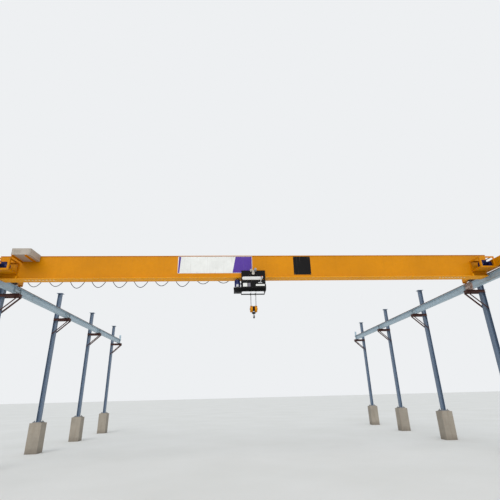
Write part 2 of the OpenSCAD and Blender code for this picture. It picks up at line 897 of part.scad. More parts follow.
module travel_drive() {
    lobe_up = 20;
    pinion_lobe_z = pinion_z + lobe_up;
    shaft = 14;
    cover_r = lobe_r - 14;
    cover_h = 25;
    boss_r = 16;
    boss_h = 9;
    color(casting_grey) translate([0, girder_y - plate_out, 0]) {
        along_y(-case_t, 0) {
            for (s = [-1, 1]) translate([s * lobe_x, case_z]) circle(lobe_r);
            translate([0, pinion_lobe_z]) circle(lobe_r);
            polygon([[-lobe_x, case_z], [0, pinion_lobe_z], [lobe_x, case_z]]);
        }
        translate([-lobe_x, 1 - case_t, case_z]) rotate([90, 0, 0]) {
            cylinder(r = cover_r, h = cover_h + 1);
            cylinder(r = boss_r, h = cover_h + boss_h + 1);
        }
        translate([0, 1 - case_t, pinion_lobe_z]) rotate([90, 0, 0]) cylinder(r = boss_r, h = boss_h + 1);
    }
    color(casting_grey) translate([0, girder_y, pinion_z]) rotate([90, 0, 0]) {
        translate([0, 0, gear_y]) rotate(90) gear(pinion_teeth, gear_w);
        translate([0, 0, gear_y + gear_w - 1]) cylinder(r = shaft, h = plate_in - gear_y - gear_w + 1);
    }
}

// Cross-travel motor, flanged to the gearbox

module cross_travel_motor() {
    length = 130;
    flange = 10;
    fins = 18;
    fin_h = 5;
    fin_t = 3;
    cowl_l = 40;
    cap = 10;
    body_r = lobe_r - 12;
    cowl_r = lobe_r - 6;
    cowl_z = length - cap - cowl_l;
    color(casting_grey) translate([lobe_x, girder_y - plate_out - case_t, case_z]) rotate([90, 0, 0]) {
        cylinder(r = lobe_r - 2, h = flange);
        translate([0, 0, flange - 1]) cylinder(r = body_r, h = cowl_z - flange + 2);
        for (i = [0 : fins - 1]) rotate(i * 360 / fins)
            translate([body_r - 1, -fin_t / 2, flange - 1]) cube([fin_h + 1, fin_t, cowl_z - flange - 5]);
        translate([0, 0, cowl_z]) cylinder(r = cowl_r, h = cowl_l);
        translate([0, 0, length - cap - 0.5]) cylinder(r1 = cowl_r, r2 = cowl_r - 10, h = cap + 0.5);
    }
}

// Hoist frame: two end plates, lower tie bars and the rope anchors on the back bar

bar_h = 36;
bar_t = 20;
bar_y = plate_in - bar_t;
anchor_r = 16;
anchor_in = 5;

module hoist_frame() {
    inner = hoist_half - plate_t;
    color(machine_black) {
        for (s = [-1, 1])
            translate([s > 0 ? inner : -hoist_half, 0, 0]) difference() {
                translate([0, girder_y - plate_in, frame_bottom])
                    cube([plate_t, 2 * plate_in, frame_top - frame_bottom]);
                translate([-1, girder_y, drum_z]) rotate([0, 90, 0])
                    cylinder(r = shaft_r + bearing_gap, h = plate_t + 2);
            }
        for (y = [-plate_in, bar_y])
            translate([-inner - 1, girder_y + y, frame_bottom])
                cube([2 * inner + 2, bar_t, bar_h]);
        for (s = [-1, 1])
            translate([s * fall_x, girder_y + bar_y + anchor_in - anchor_r, frame_bottom])
                cylinder(r = anchor_r, h = bar_h + 10);
    }
}

// Grooved rope drum on its shaft, left and right hand halves

module rope_drum() {
    inner = hoist_half - plate_t;
    half = inner - 14;
    cheek_r = drum_r + 20;
    cheek_t = 12;
    blank = fall_x - 40;
    grooves = floor((half - cheek_t - blank) / groove_pitch) - 1;
    shaft_half = hoist_half - 2;
    profile = [
        for (i = [0 : grooves - 1]) each [
            [drum_r, blank + i * groove_pitch],
            [drum_r - rope_r, blank + (i + 0.3) * groove_pitch],
            [drum_r - rope_r, blank + (i + 0.7) * groove_pitch]
        ],
        [drum_r, blank + grooves * groove_pitch],
        [drum_r, half - cheek_t], [cheek_r, half - cheek_t], [cheek_r, half],
        [shaft_r, half], [shaft_r, shaft_half], [0, shaft_half], [0, 0], [drum_r, 0]
    ];
    color(bare_steel) translate([0, girder_y, drum_z]) rotate([0, 90, 0]) {
        rotate_extrude($fn = 72) polygon(profile);
        mirror([0, 0, 1]) rotate_extrude($fn = 72) polygon(profile);
    }
}

// Front switchgear box of the hoist, with a sloping apron underneath

module hoist_box() {
    box_d = 70;
    front_h = 290;
    apron_h = 60;
    margin = 25;
    cover_t = 6;
    box_drop = 130;
    half = hoist_half - 4;
    top = girder_bottom - box_drop;
    back_y = girder_y - plate_in;
    front_y = girder_y - plate_out - box_d;
    color(machine_black) {
        along_x(-half, half) polygon([
            [back_y, top], [front_y, top], [front_y, top - front_h],
            [back_y - plate_t, top - front_h - apron_h], [back_y, top - front_h - apron_h]
        ]);
        translate([0, 0, top - front_h / 2]) along_y(front_y - cover_t, front_y + 1)
            round_rect(2 * (half - margin), front_h - 2 * margin, 10);
    }
}

// Hoist motor: upright on the brake box, finned, with a domed fan cowl

motor_flange = 26;
motor_flange_t = 20;

module hoist_motor() {
    fins = 20;
    fin_h = 8;
    fin_t = 4;
    cowl_h = 80;
    dome_h = 28;
    dome_turn = 72;
    dome_steps = 4;
    body_r = hoist_motor_r - fin_h;
    body_h = hoist_motor_h - cowl_h;
    dome_z = hoist_motor_h - dome_h;
    color(motor_blue) translate([motor_x, girder_y, motor_z]) {
        cylinder(r = hoist_motor_r + motor_flange, h = motor_flange_t);
        cylinder(r = body_r, h = body_h + 1);
        for (i = [0 : fins - 1]) rotate((i + 0.5) * 360 / fins)
            translate([body_r - 2, -fin_t / 2, motor_flange_t - 1])
                cube([fin_h + 2, fin_t, body_h - motor_flange_t - 8]);
        rotate_extrude() polygon([
            [0, body_h], [hoist_motor_r, body_h],
            for (k = [0 : dome_steps]) [
                hoist_motor_r * cos(k * dome_turn / dome_steps),
                dome_z + dome_h * sin(k * dome_turn / dome_steps) / sin(dome_turn)
            ],
            [0, hoist_motor_h]
        ]);
    }
}

// Terminal box on the front of the hoist motor

module motor_terminal_box() {
    w = 78;
    d = 70;
    h = 90;
    z = motor_z + motor_flange_t + rolling_gap;
    color(casting_grey) difference() {
        translate([motor_x - w / 2, girder_y - hoist_motor_r - d + 20, z]) cube([w, d, h]);
        translate([motor_x, girder_y, z - 1]) cylinder(r = hoist_motor_r + rolling_gap, h = h + 2);
    }
}

// Brake box, bolted to the left end plate, with a lid under the hoist motor

module brake_box() {
    d = 240;
    lid_t = 10;
    lid_out = 8;
    x = motor_x - brake_w / 2;
    color(machine_black) {
        translate([x + lid_out, girder_y - d / 2, brake_z])
            cube([brake_w - lid_out, d, brake_h - lid_t + 1]);
        translate([x, girder_y - d / 2 - lid_out, motor_z - lid_t])
            cube([brake_w, d + 2 * lid_out, lid_t]);
    }
}

// Gearbox cover on the right end plate, centred on the drum shaft

module hoist_gearbox() {
    base_r = 150;
    base_t = 12;
    dome_r = 138;
    dome_h = 24;
    cap_r = 45;
    color(machine_black) translate([hoist_half, girder_y, drum_z]) rotate([0, 90, 0]) {
        cylinder(r = base_r, h = base_t);
        translate([0, 0, base_t - 0.5]) cylinder(r1 = dome_r, r2 = dome_r - 28, h = dome_h);
        translate([0, 0, base_t + dome_h - 1]) cylinder(r = cap_r, h = 8);
    }
}

// Tow arm, which pulls the end of the festoon cable along with the hoist

module tow_arm() {
    bar_l = tow_x - hoist_half + 150;
    bar_h = 30;
    bar_t = 8;
    cross_h = 10;
    clamp_r = cable_r + 6;
    color(casting_grey) translate([tow_clamp_x, 0, cable_z]) {
        translate([0, girder_y + plate_out, cable_r + 2]) {
            cube([bar_l, bar_t, bar_h]);
            translate([0, bar_t - 1, 0]) cube([clamp_l, tow_y - girder_y - plate_out, cross_h]);
        }
        translate([0, tow_y, 0]) rotate([0, 90, 0]) difference() {
            cylinder(r = clamp_r, h = clamp_l);
            translate([0, 0, -1]) cylinder(r = cable_r + head_gap, h = clamp_l + 2);
        }
    }
}

// Four rope falls: from the drum to the front of the sheaves and from their backs to the anchors

function between(a, b, z) = a + (b - a) * (z - a[2]) / (b[2] - a[2]);

// A straight rope from a up to b, cut level at both ends
module rope_between(a, b) {
    d = b - a;
    spare = 2 * rope_r;
    intersection() {
        translate(a) rotate([0, acos(d[2] / norm(d)), atan2(d[1], d[0])])
            translate([0, 0, -spare]) cylinder(r = rope_r, h = norm(d) + 2 * spare);
        translate([a[0] - spare, girder_y - flange_w, a[2]]) cube([2 * spare, 2 * flange_w, d[2]]);
    }
}

falls_top = frame_bottom - rolling_gap;
falls_bottom = block_z + cover_r - slot_depth + rolling_gap;
function sheave_side(s, side) = [s * fall_x, girder_y + side * sheave_r, falls_bottom];
function drum_side(s) = [s * fall_x, girder_y - drum_r - rope_r - 0.8, drum_z];

// The two lengths between the drum and the bottom of the hoist frame
module rope_leads() {
    color(bare_steel) for (s = [-1, 1])
        rope_between(between(sheave_side(s, -1), drum_side(s), falls_top), drum_side(s));
}

module hoist_ropes() {
    color(bare_steel) for (s = [-1, 1]) {
        rope_between(sheave_side(s, -1), between(sheave_side(s, -1), drum_side(s), falls_top));
        rope_between(sheave_side(s, 1), [s * fall_x, girder_y + bar_y + anchor_in - anchor_r, falls_top]);
    }
}

// Hook block: yoke with a wider crosshead, and a pressed cover over each sheave

module block_yoke() {
    yoke_d = 76;
    window_h = 52;
    head_h = 62;
    pin_out = 14;
    cheek = 10;
    head_w = 120;
    head_d = 88;
    bevel = 14;
    color(machine_black) difference() {
        union() {
            translate([-yoke_w / 2, girder_y - yoke_d / 2, yoke_bottom])
                cube([yoke_w, yoke_d, block_z - yoke_bottom + head_h]);
            translate([-yoke_w / 2, girder_y, block_z + head_h]) rotate([0, 90, 0])
                cylinder(r = yoke_d / 2, h = yoke_w);
            translate([0, 0, yoke_bottom])
                along_y(girder_y - head_d / 2, girder_y + head_d / 2) polygon([
                    [bevel - head_w / 2, 0], [head_w / 2 - bevel, 0], [head_w / 2, bevel],
                    [head_w / 2, crosshead_h], [-head_w / 2, crosshead_h], [-head_w / 2, bevel]
                ]);
            translate([-yoke_w / 2 - cover_w - pin_out, girder_y, block_z]) rotate([0, 90, 0])
                cylinder(r = pin_r, h = yoke_w + 2 * (cover_w + pin_out));
        }
        translate([cheek - yoke_w / 2, girder_y - yoke_d, yoke_bottom + crosshead_h])
            cube([yoke_w - 2 * cheek, 2 * yoke_d, window_h]);
        translate([0, girder_y, yoke_bottom - 1])
            cylinder(r = shank_r + bearing_gap, h = crosshead_h + 2);
    }
}

module sheave_cover() {
    round = 18;
    slot = 4 * rope_r;
    difference() {
        rotate([0, 90, 0]) rotate_extrude($fn = 72) difference() {
            union() {
                square([cover_r - round, cover_w]);
                square([cover_r, cover_w - round]);
                translate([cover_r - round, cover_w - round]) circle(round);
            }
            translate([-1, -1]) square([pin_r + 1 + bearing_gap, cover_w + 2]);
        }
        for (s = [-1, 1])
            translate([cover_w / 2 + 5 - slot / 2, s * sheave_r - slot, cover_r - slot_depth])
                cube([slot, 2 * slot, slot_depth]);
    }
}

module sheave_covers() {
    color(crane_yellow) both_sides()
        translate([yoke_w / 2, girder_y, block_z]) sheave_cover();
}

// Swivelling hook: nut and shank in the crosshead, a leaning neck and a tapering bowl

hook_turn = 60;
hook_sides = 12;
hook_steps = 28;
tip_steps = 3;
hook_sweep = 282;
collar_h = 8;
collar_gap = 1;
neck_rise = 49;
bowl_z = yoke_bottom - collar_gap - collar_h / 2 - neck_rise - hook_mouth_r - hook_radius(0);

// The section swells to the bottom of the bowl and tapers to a round point
function hook_radius(t) =
    hook_section_r * (t < 0.5 ? 0.72 + 0.56 * t : 1 - 0.62 * pow(2 * t - 1, 2));
function tip_angle(k) = 28 * max(0, k - hook_steps);
function hook_t(k) = 0.97 * min(1, k / hook_steps) + 0.03 * sin(tip_angle(k));
function hook_point(k) =
    let (
        t = hook_t(k),
        a = hook_sweep * t,
        mid = hook_mouth_r + hook_radius(t) + neck_rise * exp(-a / 12)
    )
    mid * [sin(a), 0, cos(a)];
function hook_ring(k) =
    let (
        last = hook_steps + tip_steps,
        step = hook_point(min(k + 1, last)) - hook_point(max(k - 1, 0)),
        out = cross([0, 1, 0], step / norm(step)),
        r = hook_radius(hook_t(k)) * cos(tip_angle(k))
    )
    [for (j = [0 : hook_sides - 1])
        hook_point(k) + r * (cos(j * 360 / hook_sides) * out + sin(j * 360 / hook_sides) * [0, 1, 0])];

module hook() {
    n = hook_sides;
    last = hook_steps + tip_steps;
    nut_r = 24;
    nut_h = 24;
    nut_z = yoke_bottom + crosshead_h + rolling_gap;
    collar_z = yoke_bottom - collar_gap - collar_h;
    points = [for (k = [0 : last]) each hook_ring(k)];
    walls = [for (k = [0 : last - 1], j = [0 : n - 1])
        [k * n + j, (k + 1) * n + j, (k + 1) * n + (j + 1) % n, k * n + (j + 1) % n]];
    caps = [[for (j = [0 : n - 1]) j], [for (j = [n - 1 : -1 : 0]) last * n + j]];
    color(machine_black) translate([0, girder_y, 0]) {
        translate([0, 0, bowl_z]) rotate(hook_turn) polyhedron(points, concat(walls, caps));
        translate([0, 0, collar_z]) cylinder(r = nut_r, h = collar_h);
        translate([0, 0, collar_z + 1]) cylinder(r = shank_r, h = nut_z + nut_h + 6 - collar_z - 1);
        translate([0, 0, nut_z]) cylinder(r = nut_r, h = nut_h, $fn = 6);
    }
}

pedestals();
columns();
brackets();
runway_beams();
splice_plates();
rails();
end_stops();
front_web();
back_web();
top_flange();
bottom_flange();
girder_end_plates();
left_end_carriage();
right_end_carriage();
bearing_housings();
buffers();
left_motor_guard();
right_motor_guard();
travel_motors();
control_panel();
panel_arms();
festoon_track();
festoon_carriers();
festoon_cable();
wheel_left_front();
wheel_right_front();
wheel_left_back();
wheel_right_back();
trolley_plates();
trolley_wheels();
travel_drive();
cross_travel_motor();
hoist_frame();
hoist_box();
hoist_motor();
motor_terminal_box();
brake_box();
hoist_gearbox();
tow_arm();
rope_leads();
hoist_ropes();
rope_drum();
block_yoke();
sheave_covers();
hook();
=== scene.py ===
"""Looks of an overhead travelling crane and its runway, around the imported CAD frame.

Lengths are in metres, in the row frame: X along the girder, Y along the runway, Z up.
"""

import json
import math
import random

import bmesh
import bpy
from mathutils import Matrix, Vector

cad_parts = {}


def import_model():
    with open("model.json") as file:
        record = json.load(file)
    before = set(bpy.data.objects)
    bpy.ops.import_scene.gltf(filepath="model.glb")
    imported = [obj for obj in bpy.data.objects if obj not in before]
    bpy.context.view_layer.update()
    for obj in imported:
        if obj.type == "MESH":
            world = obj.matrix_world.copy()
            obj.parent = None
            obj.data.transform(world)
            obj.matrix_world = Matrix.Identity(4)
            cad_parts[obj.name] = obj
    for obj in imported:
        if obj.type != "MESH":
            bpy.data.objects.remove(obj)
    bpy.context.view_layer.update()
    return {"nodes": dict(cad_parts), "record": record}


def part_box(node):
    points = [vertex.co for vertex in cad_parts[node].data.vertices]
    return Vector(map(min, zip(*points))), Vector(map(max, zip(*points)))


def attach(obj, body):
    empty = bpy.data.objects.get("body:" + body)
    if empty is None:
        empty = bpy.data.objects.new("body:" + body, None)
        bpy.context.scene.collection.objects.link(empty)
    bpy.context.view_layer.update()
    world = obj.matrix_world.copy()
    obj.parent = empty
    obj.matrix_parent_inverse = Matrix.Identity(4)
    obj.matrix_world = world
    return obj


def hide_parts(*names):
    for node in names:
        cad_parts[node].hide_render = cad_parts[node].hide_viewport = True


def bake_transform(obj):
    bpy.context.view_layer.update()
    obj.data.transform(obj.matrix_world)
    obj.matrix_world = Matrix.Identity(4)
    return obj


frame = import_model()
random.seed(7)

# Places and sizes that the frame gives
MOUNTS = {mount["name"]: mount["pos_m"] for mount in frame["record"]["mounts"]}
LINES = [MOUNTS[f"right_cap_{line}"][1] for line in range(1, 6)]
COLUMN_X = MOUNTS["right_cap_1"][0]
GIRDER_Y = MOUNTS["load_hook"][1]
COLUMN_LOW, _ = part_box("columns")
RAIL_LOW, RAIL_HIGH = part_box("rails")
BEAM_LOW, BEAM_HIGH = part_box("runway_beams")
_, STOP_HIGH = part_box("end_stops")
WEB_LOW, WEB_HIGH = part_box("front_web")
_, BACK_WEB_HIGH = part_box("back_web")
FLANGE_LOW, FLANGE_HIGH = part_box("bottom_flange")
CARRIAGE_LOW, CARRIAGE_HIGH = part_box("right_end_carriage")
WHEEL_LOW, WHEEL_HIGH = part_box("wheel_right_front")
BUFFER_LOW, BUFFER_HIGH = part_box("buffers")
GUARD_LOW, GUARD_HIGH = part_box("right_motor_guard")
TRAVEL_LOW, TRAVEL_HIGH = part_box("travel_motors")
PANEL_LOW, PANEL_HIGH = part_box("control_panel")
TROLLEY_WHEEL_LOW, TROLLEY_WHEEL_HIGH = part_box("trolley_wheels")
PLATE_LOW, PLATE_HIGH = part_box("trolley_plates")
DRIVE_LOW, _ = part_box("travel_drive")
CROSS_LOW, CROSS_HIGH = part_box("cross_travel_motor")
BOX_LOW, BOX_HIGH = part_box("hoist_box")
FRAME_LOW, FRAME_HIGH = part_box("hoist_frame")
MOTOR_LOW, MOTOR_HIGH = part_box("hoist_motor")
TERMINAL_LOW, TERMINAL_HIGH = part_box("motor_terminal_box")
BRAKE_LOW, BRAKE_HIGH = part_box("brake_box")
GEARBOX_LOW, GEARBOX_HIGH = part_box("hoist_gearbox")
DRUM_LOW, DRUM_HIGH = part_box("rope_drum")
LEADS_LOW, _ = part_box("rope_leads")
ROPES_LOW, ROPES_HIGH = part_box("hoist_ropes")
YOKE_LOW, YOKE_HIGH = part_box("block_yoke")
COVER_LOW, COVER_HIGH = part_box("sheave_covers")
TRACK_LOW, TRACK_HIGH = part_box("festoon_track")
CABLE_LOW, CABLE_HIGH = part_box("festoon_cable")

RAIL_HALF = 0.025
GEAR_TIP_R = 0.0832
ROPE_R = 0.005
SHEAVE_R = 0.085
RAIL_X = RAIL_HIGH.x - RAIL_HALF
WHEEL_Y = (WHEEL_LOW.y + WHEEL_HIGH.y) / 2
WHEEL_Z = (WHEEL_LOW.z + WHEEL_HIGH.z) / 2
AXLE_X = TROLLEY_WHEEL_HIGH.x - GEAR_TIP_R
AXLE_Z = (TROLLEY_WHEEL_LOW.z + TROLLEY_WHEEL_HIGH.z) / 2
DRUM_Z = (DRUM_LOW.z + DRUM_HIGH.z) / 2
MOTOR_X = (MOTOR_LOW.x + MOTOR_HIGH.x) / 2
BLOCK_Z = (COVER_LOW.z + COVER_HIGH.z) / 2
WEB_Y = WEB_LOW.y
DOOR_Y = PANEL_LOW.y + 0.004
FALL_X = ROPES_HIGH.x - ROPE_R
ANCHOR_Y = ROPES_HIGH.y - ROPE_R


def vec(x, y, z):
    return Vector((x, y, z))


X, Y, Z = vec(1, 0, 0), vec(0, 1, 0), vec(0, 0, 1)


def srgb(red, green, blue):
    """A colour written as 0 to 255, as the linear values that Blender takes."""
    def linear(value):
        value /= 255
        return value / 12.92 if value <= 0.04045 else ((value + 0.055) / 1.055) ** 2.4
    return (linear(red), linear(green), linear(blue), 1.0)


# Materials

def plug(tree, socket, value):
    """Gives the socket a plain value, or links it to the output that value is."""
    if isinstance(value, bpy.types.NodeSocket):
        tree.links.new(value, socket)
    else:
        socket.default_value = value


def add_node(tree, kind, inputs=None, **settings):
    node = tree.nodes.new(kind)
    for key, value in settings.items():
        setattr(node, key, value)
    for key, value in (inputs or {}).items():
        plug(tree, node.inputs[key], value)
    return node


class Surface:
    """One node material. Its methods add nodes and hand their output sockets on."""

    def __init__(self, name):
        self.material = bpy.data.materials.new(name)
        self.material.use_nodes = True
        self.tree = self.material.node_tree
        self.shader = self.tree.nodes["Principled BSDF"]
        self.place = self.add("ShaderNodeTexCoord").outputs["Object"]
        self.geometry = self.add("ShaderNodeNewGeometry")

    def add(self, kind, inputs=None, **settings):
        return add_node(self.tree, kind, inputs, **settings)

    def stretched(self, scale):
        return self.add("ShaderNodeMapping", {"Vector": self.place, "Scale": scale}).outputs[0]

    def noise(self, scale, detail=4.0, rough=0.55, stretch=None):
        vector = self.stretched(stretch) if stretch else self.place
        return self.add("ShaderNodeTexNoise", {
            "Vector": vector, "Scale": scale, "Detail": detail, "Roughness": rough}).outputs[0]

    def cells(self, scale):
        return self.add("ShaderNodeTexVoronoi", {"Vector": self.place, "Scale": scale}).outputs["Distance"]

    def band(self, value, low, high, to_low=0.0, to_high=1.0):
        """Value mapped from low..high to to_low..to_high and held there."""
        return self.add("ShaderNodeMapRange", {
            "Value": value, "From Min": low, "From Max": high,
            "To Min": to_low, "To Max": to_high}).outputs["Result"]

    def math(self, operation, a, b=0.0):
        return self.add("ShaderNodeMath", {0: a, 1: b}, operation=operation).outputs[0]

    def times(self, a, b):
        return self.math("MULTIPLY", a, b)

    def mix(self, share, a, b):
        return self.add("ShaderNodeMix", {0: share, 6: a, 7: b}, data_type="RGBA").outputs[2]

    def cover(self, colour, mask, strength, other):
        """The colour under the other one, which lies where the mask is, as thick as strength."""
        return self.mix(self.times(mask, strength), colour, other)

    def axis(self, source, name):
        return self.add("ShaderNodeSeparateXYZ", {0: source}).outputs[name]

    def facing(self, name):
        """The x, y or z part of the object's own normal."""
        normal = self.add("ShaderNodeTexCoord").outputs["Normal"]
        return self.axis(normal, name)

    def edges(self, radius):
        """1 along edges and creases, 0 on flat faces."""
        round_normal = self.add("ShaderNodeBevel", {"Radius": radius}, samples=4).outputs[0]
        dot = self.add("ShaderNodeVectorMath", {0: round_normal, 1: self.geometry.outputs["Normal"]},
                       operation="DOT_PRODUCT").outputs["Value"]
        return self.band(dot, 0.995, 0.86)

    def bump(self, *layers):
        """layers are (height socket, depth in metres) pairs, from the coarsest to the finest."""
        normal = None
        for height, depth in layers:
            inputs = {"Height": height, "Distance": depth, "Strength": 1.0}
            if normal:
                inputs["Normal"] = normal
            normal = self.add("ShaderNodeBump", inputs).outputs[0]
        self.tree.links.new(normal, self.shader.inputs["Normal"])

    def finish(self, colour, rough, metal=0.0, gloss=0.5):
        """Sets the shader's sockets, each from a node's output or from a plain value."""
        for name, value in (("Base Color", colour), ("Roughness", rough), ("Metallic", metal),
                            ("Specular IOR Level", gloss)):
            plug(self.tree, self.shader.inputs[name], value)
        return self.material


def shade(colour, factor):
    """The colour made darker or lighter."""
    return tuple(min(1.0, part * factor) for part in colour[:3]) + (1.0,)


def paint(name, base, under, grime, dust, rough=0.42, wear=0.5, streaks=0.5, dusty=0.6, patchy=0.28,
          gloss=0.5, spot=None):
    """Old machine paint: uneven, streaked down its sides, dusty on top and chipped at its edges.

    under shows where it is chipped. wear, streaks, dusty and patchy are shares from 0 to 1.
    spot takes the surface and gives a mask and the colour of the paint or metal there.
    """
    s = Surface(name)
    fading = s.band(s.noise(0.7, 3.0), 0.3, 0.7)
    mottle = s.band(s.noise(9.0, 6.0, 0.65), 0.3, 0.75)
    colour = s.mix(fading, shade(base, 0.9), shade(base, 1.08))
    colour = s.cover(colour, mottle, 0.35, shade(base, 0.8))
    if spot:
        mask, other = spot(s)
        colour = s.mix(mask, colour, other)
    # Grime: runs down upright faces, and patches
    runs = s.band(s.noise(1.0, 5.0, 0.6, stretch=(16.0, 16.0, 0.9)), 0.54, 0.78)
    upright = s.band(s.math("ABSOLUTE", s.facing("Z")), 0.5, 0.1)
    stain = s.times(s.times(runs, upright), streaks)
    colour = s.mix(stain, colour, grime)
    patches = s.band(s.noise(3.2, 7.0, 0.7), 0.52, 0.74)
    colour = s.cover(colour, patches, patchy, grime)
    # Dust on upper faces
    up = s.band(s.facing("Z"), 0.55, 0.95)
    drift = s.band(s.noise(5.0, 5.0, 0.6), 0.25, 0.7)
    settled = s.times(s.times(up, drift), dusty)
    colour = s.mix(settled, colour, dust)
    # Chips, along edges and scattered
    edge = s.edges(0.006)
    chips = s.band(s.noise(38.0, 6.0, 0.7), 0.56 - 0.1 * wear, 0.6)
    chipped = s.times(s.times(edge, chips), wear)
    colour = s.mix(chipped, colour, under)
    scatter = s.band(s.noise(27.0, 8.0, 0.75), 0.71, 0.735)
    colour = s.cover(colour, scatter, wear, under)
    uneven = s.band(s.noise(14.0, 5.0), 0.3, 0.7, rough - 0.1, rough + 0.12)
    worn = s.math("MAXIMUM", settled, chipped)
    roughness = s.math("MAXIMUM", uneven, s.times(worn, 0.82))
    s.bump((s.noise(2.5, 2.0), 0.004), (chipped, -0.0006), (s.noise(160.0, 3.0), 0.0005))
    return s.finish(colour, roughness, gloss=gloss)


def bare_joint(s):
    """The primer that shows where one joint of the right runway beam was never painted."""
    beside = s.math("ABSOLUTE", s.math("SUBTRACT", s.axis(s.place, "Y"), LINES[1] - 0.06))
    ragged = s.math("ADD", beside, s.times(s.noise(9.0, 6.0, 0.7), 0.04))
    there = s.times(s.band(ragged, 0.25, 0.24), s.band(s.axis(s.place, "X"), 0.0, 1.0))
    blotch = s.band(s.noise(14.0, 6.0, 0.7), 0.35, 0.65)
    return there, s.mix(blotch, srgb(204, 184, 172), srgb(164, 134, 122))


def grey_flange(s):
    """The unpainted flange at the foot of the hoist motor."""
    top = MOTOR_LOW.z + 0.02
    return s.band(s.axis(s.place, "Z"), top + 0.0005, top - 0.0005), srgb(176, 178, 180)


def rusty_steel(name, bright, rust, polish, metal=0.85, sides_only=True):
    """Bare steel: rusty, and rubbed bright where wheels and hands go."""
    s = Surface(name)
    scale = s.band(s.noise(20.0, 8.0, 0.7), 0.3, 0.7)
    patches = s.band(s.noise(2.2, 5.0, 0.6), 0.35, 0.65)
    dull = s.mix(scale, shade(rust, 0.6), shade(rust, 1.25))
    dull = s.mix(s.times(patches, 0.4), dull, shade(bright, 0.45))
    rubbed = s.band(s.facing("Z"), 0.6, 0.95) if sides_only else s.band(s.edges(0.004), 0.1, 0.9)
    scratches = s.band(s.noise(1.0, 4.0, 0.6, stretch=(260.0, 4.0, 60.0)), 0.35, 0.7)
    rubbed = s.times(rubbed, polish)
    colour = s.mix(rubbed, dull, s.mix(scratches, shade(bright, 0.75), shade(bright, 1.1)))
    roughness = s.mix(rubbed, (0.78,) * 3 + (1.0,), (0.34,) * 3 + (1.0,))
    metallic = s.times(s.math("ADD", s.times(rubbed, 0.7), 0.3), metal)
    s.bump((scale, 0.0008), (s.noise(220.0, 3.0), 0.0003))
    return s.finish(colour, roughness, metallic)


def cast_concrete():
    """Formed concrete with board marks, air holes, damp low down and streaks of stain."""
    s = Surface("cast_concrete")
    base = srgb(158, 149, 136)
    clouds = s.band(s.noise(1.8, 6.0, 0.6), 0.3, 0.7)
    grit = s.band(s.noise(70.0, 8.0, 0.75), 0.3, 0.7)
    colour = s.mix(clouds, shade(base, 0.82), shade(base, 1.12))
    colour = s.cover(colour, grit, 0.3, shade(base, 0.62))
    holes = s.band(s.cells(24.0), 0.14, 0.05)
    colour = s.cover(colour, holes, 0.75, shade(base, 0.35))
    height = s.axis(s.place, "Z")
    damp_line = s.math("ADD", height, s.times(s.noise(4.0, 5.0), 0.3))
    damp = s.band(damp_line, 0.42, 0.12, 0.0, 0.55)
    colour = s.mix(damp, colour, srgb(92, 84, 74))
    boards = s.band(s.math("PINGPONG", height, 0.075), 0.0, 0.006)
    colour = s.mix(s.times(s.math("SUBTRACT", 1.0, boards), 0.35), colour, shade(base, 0.6))
    stain = s.band(s.noise(1.0, 5.0, 0.6, stretch=(9.0, 9.0, 0.8)), 0.55, 0.8, 0.0, 0.4)
    colour = s.mix(stain, colour, srgb(110, 92, 76))
    s.bump((clouds, 0.004), (boards, 0.0015), (holes, -0.003), (grit, 0.0012))
    return s.finish(colour, s.band(clouds, 0.0, 1.0, 0.82, 0.93))


def bare_metal(name, base, rough, grain, metal=0.9, tarnish=srgb(70, 66, 60)):
    """Cast or coated bright metal with a fine grain and tarnish in its corners."""
    s = Surface(name)
    flow = s.band(s.noise(grain, 6.0, 0.65), 0.3, 0.7)
    spangle = s.band(s.cells(grain * 3.0), 0.1, 0.6)
    colour = s.mix(flow, shade(base, 0.78), shade(base, 1.1))
    colour = s.cover(colour, spangle, 0.22, shade(base, 0.7))
    dirt = s.times(s.band(s.noise(6.0, 6.0, 0.7), 0.45, 0.75), 0.6)
    corner = s.times(s.edges(0.008), s.band(s.noise(30.0), 0.4, 0.6))
    colour = s.mix(s.math("MAXIMUM", dirt, s.times(corner, 0.5)), colour, tarnish)
    roughness = s.band(flow, 0.0, 1.0, rough - 0.08, rough + 0.14)
    s.bump((flow, 0.0006), (s.noise(190.0, 3.0), 0.0004))
    return s.finish(colour, roughness, metal)


def rubber(name, base, rough=0.62):
    """Black rubber or plastic skin, greyed by dust on its upper side."""
    s = Surface(name)
    bloom = s.band(s.noise(11.0, 6.0, 0.65), 0.3, 0.75)
    colour = s.mix(bloom, shade(base, 0.75), shade(base, 1.5))
    up = s.times(s.band(s.facing("Z"), 0.3, 0.95), s.band(s.noise(6.0, 5.0), 0.3, 0.7))
    colour = s.cover(colour, up, 0.45, srgb(116, 108, 98))
    s.bump((s.noise(90.0, 5.0, 0.7), 0.0005))
    return s.finish(colour, s.band(bloom, 0.0, 1.0, rough - 0.1, rough + 0.15))


def stranded(name, base, strands, lay, metal, rough):
    """Twisted rope: strands that wind round once every lay metres, with painted shade in the grooves between
    them, and greasy patches.
    """
    s = Surface(name)
    turn = s.add("ShaderNodeUVMap").outputs[0]
    around = s.times(s.axis(turn, "X"), float(strands))
    along = s.math("DIVIDE", s.axis(turn, "Y"), lay / strands)
    ridge = s.math("PINGPONG", s.math("ADD", around, along), 0.5)
    ridge = s.band(ridge, 0.0, 0.5)
    grease = s.band(s.noise(7.0, 6.0, 0.7), 0.35, 0.7)
    # Darker in the grooves between strands: painted shade.
    colour = s.mix(ridge, shade(base, 0.25), shade(base, 1.15))
    colour = s.cover(colour, grease, 0.5, srgb(46, 40, 34))
    s.bump((ridge, 0.0016), (s.noise(300.0, 3.0), 0.0003))
    return s.finish(colour, s.band(ridge, 0.0, 1.0, rough + 0.2, rough), metal)


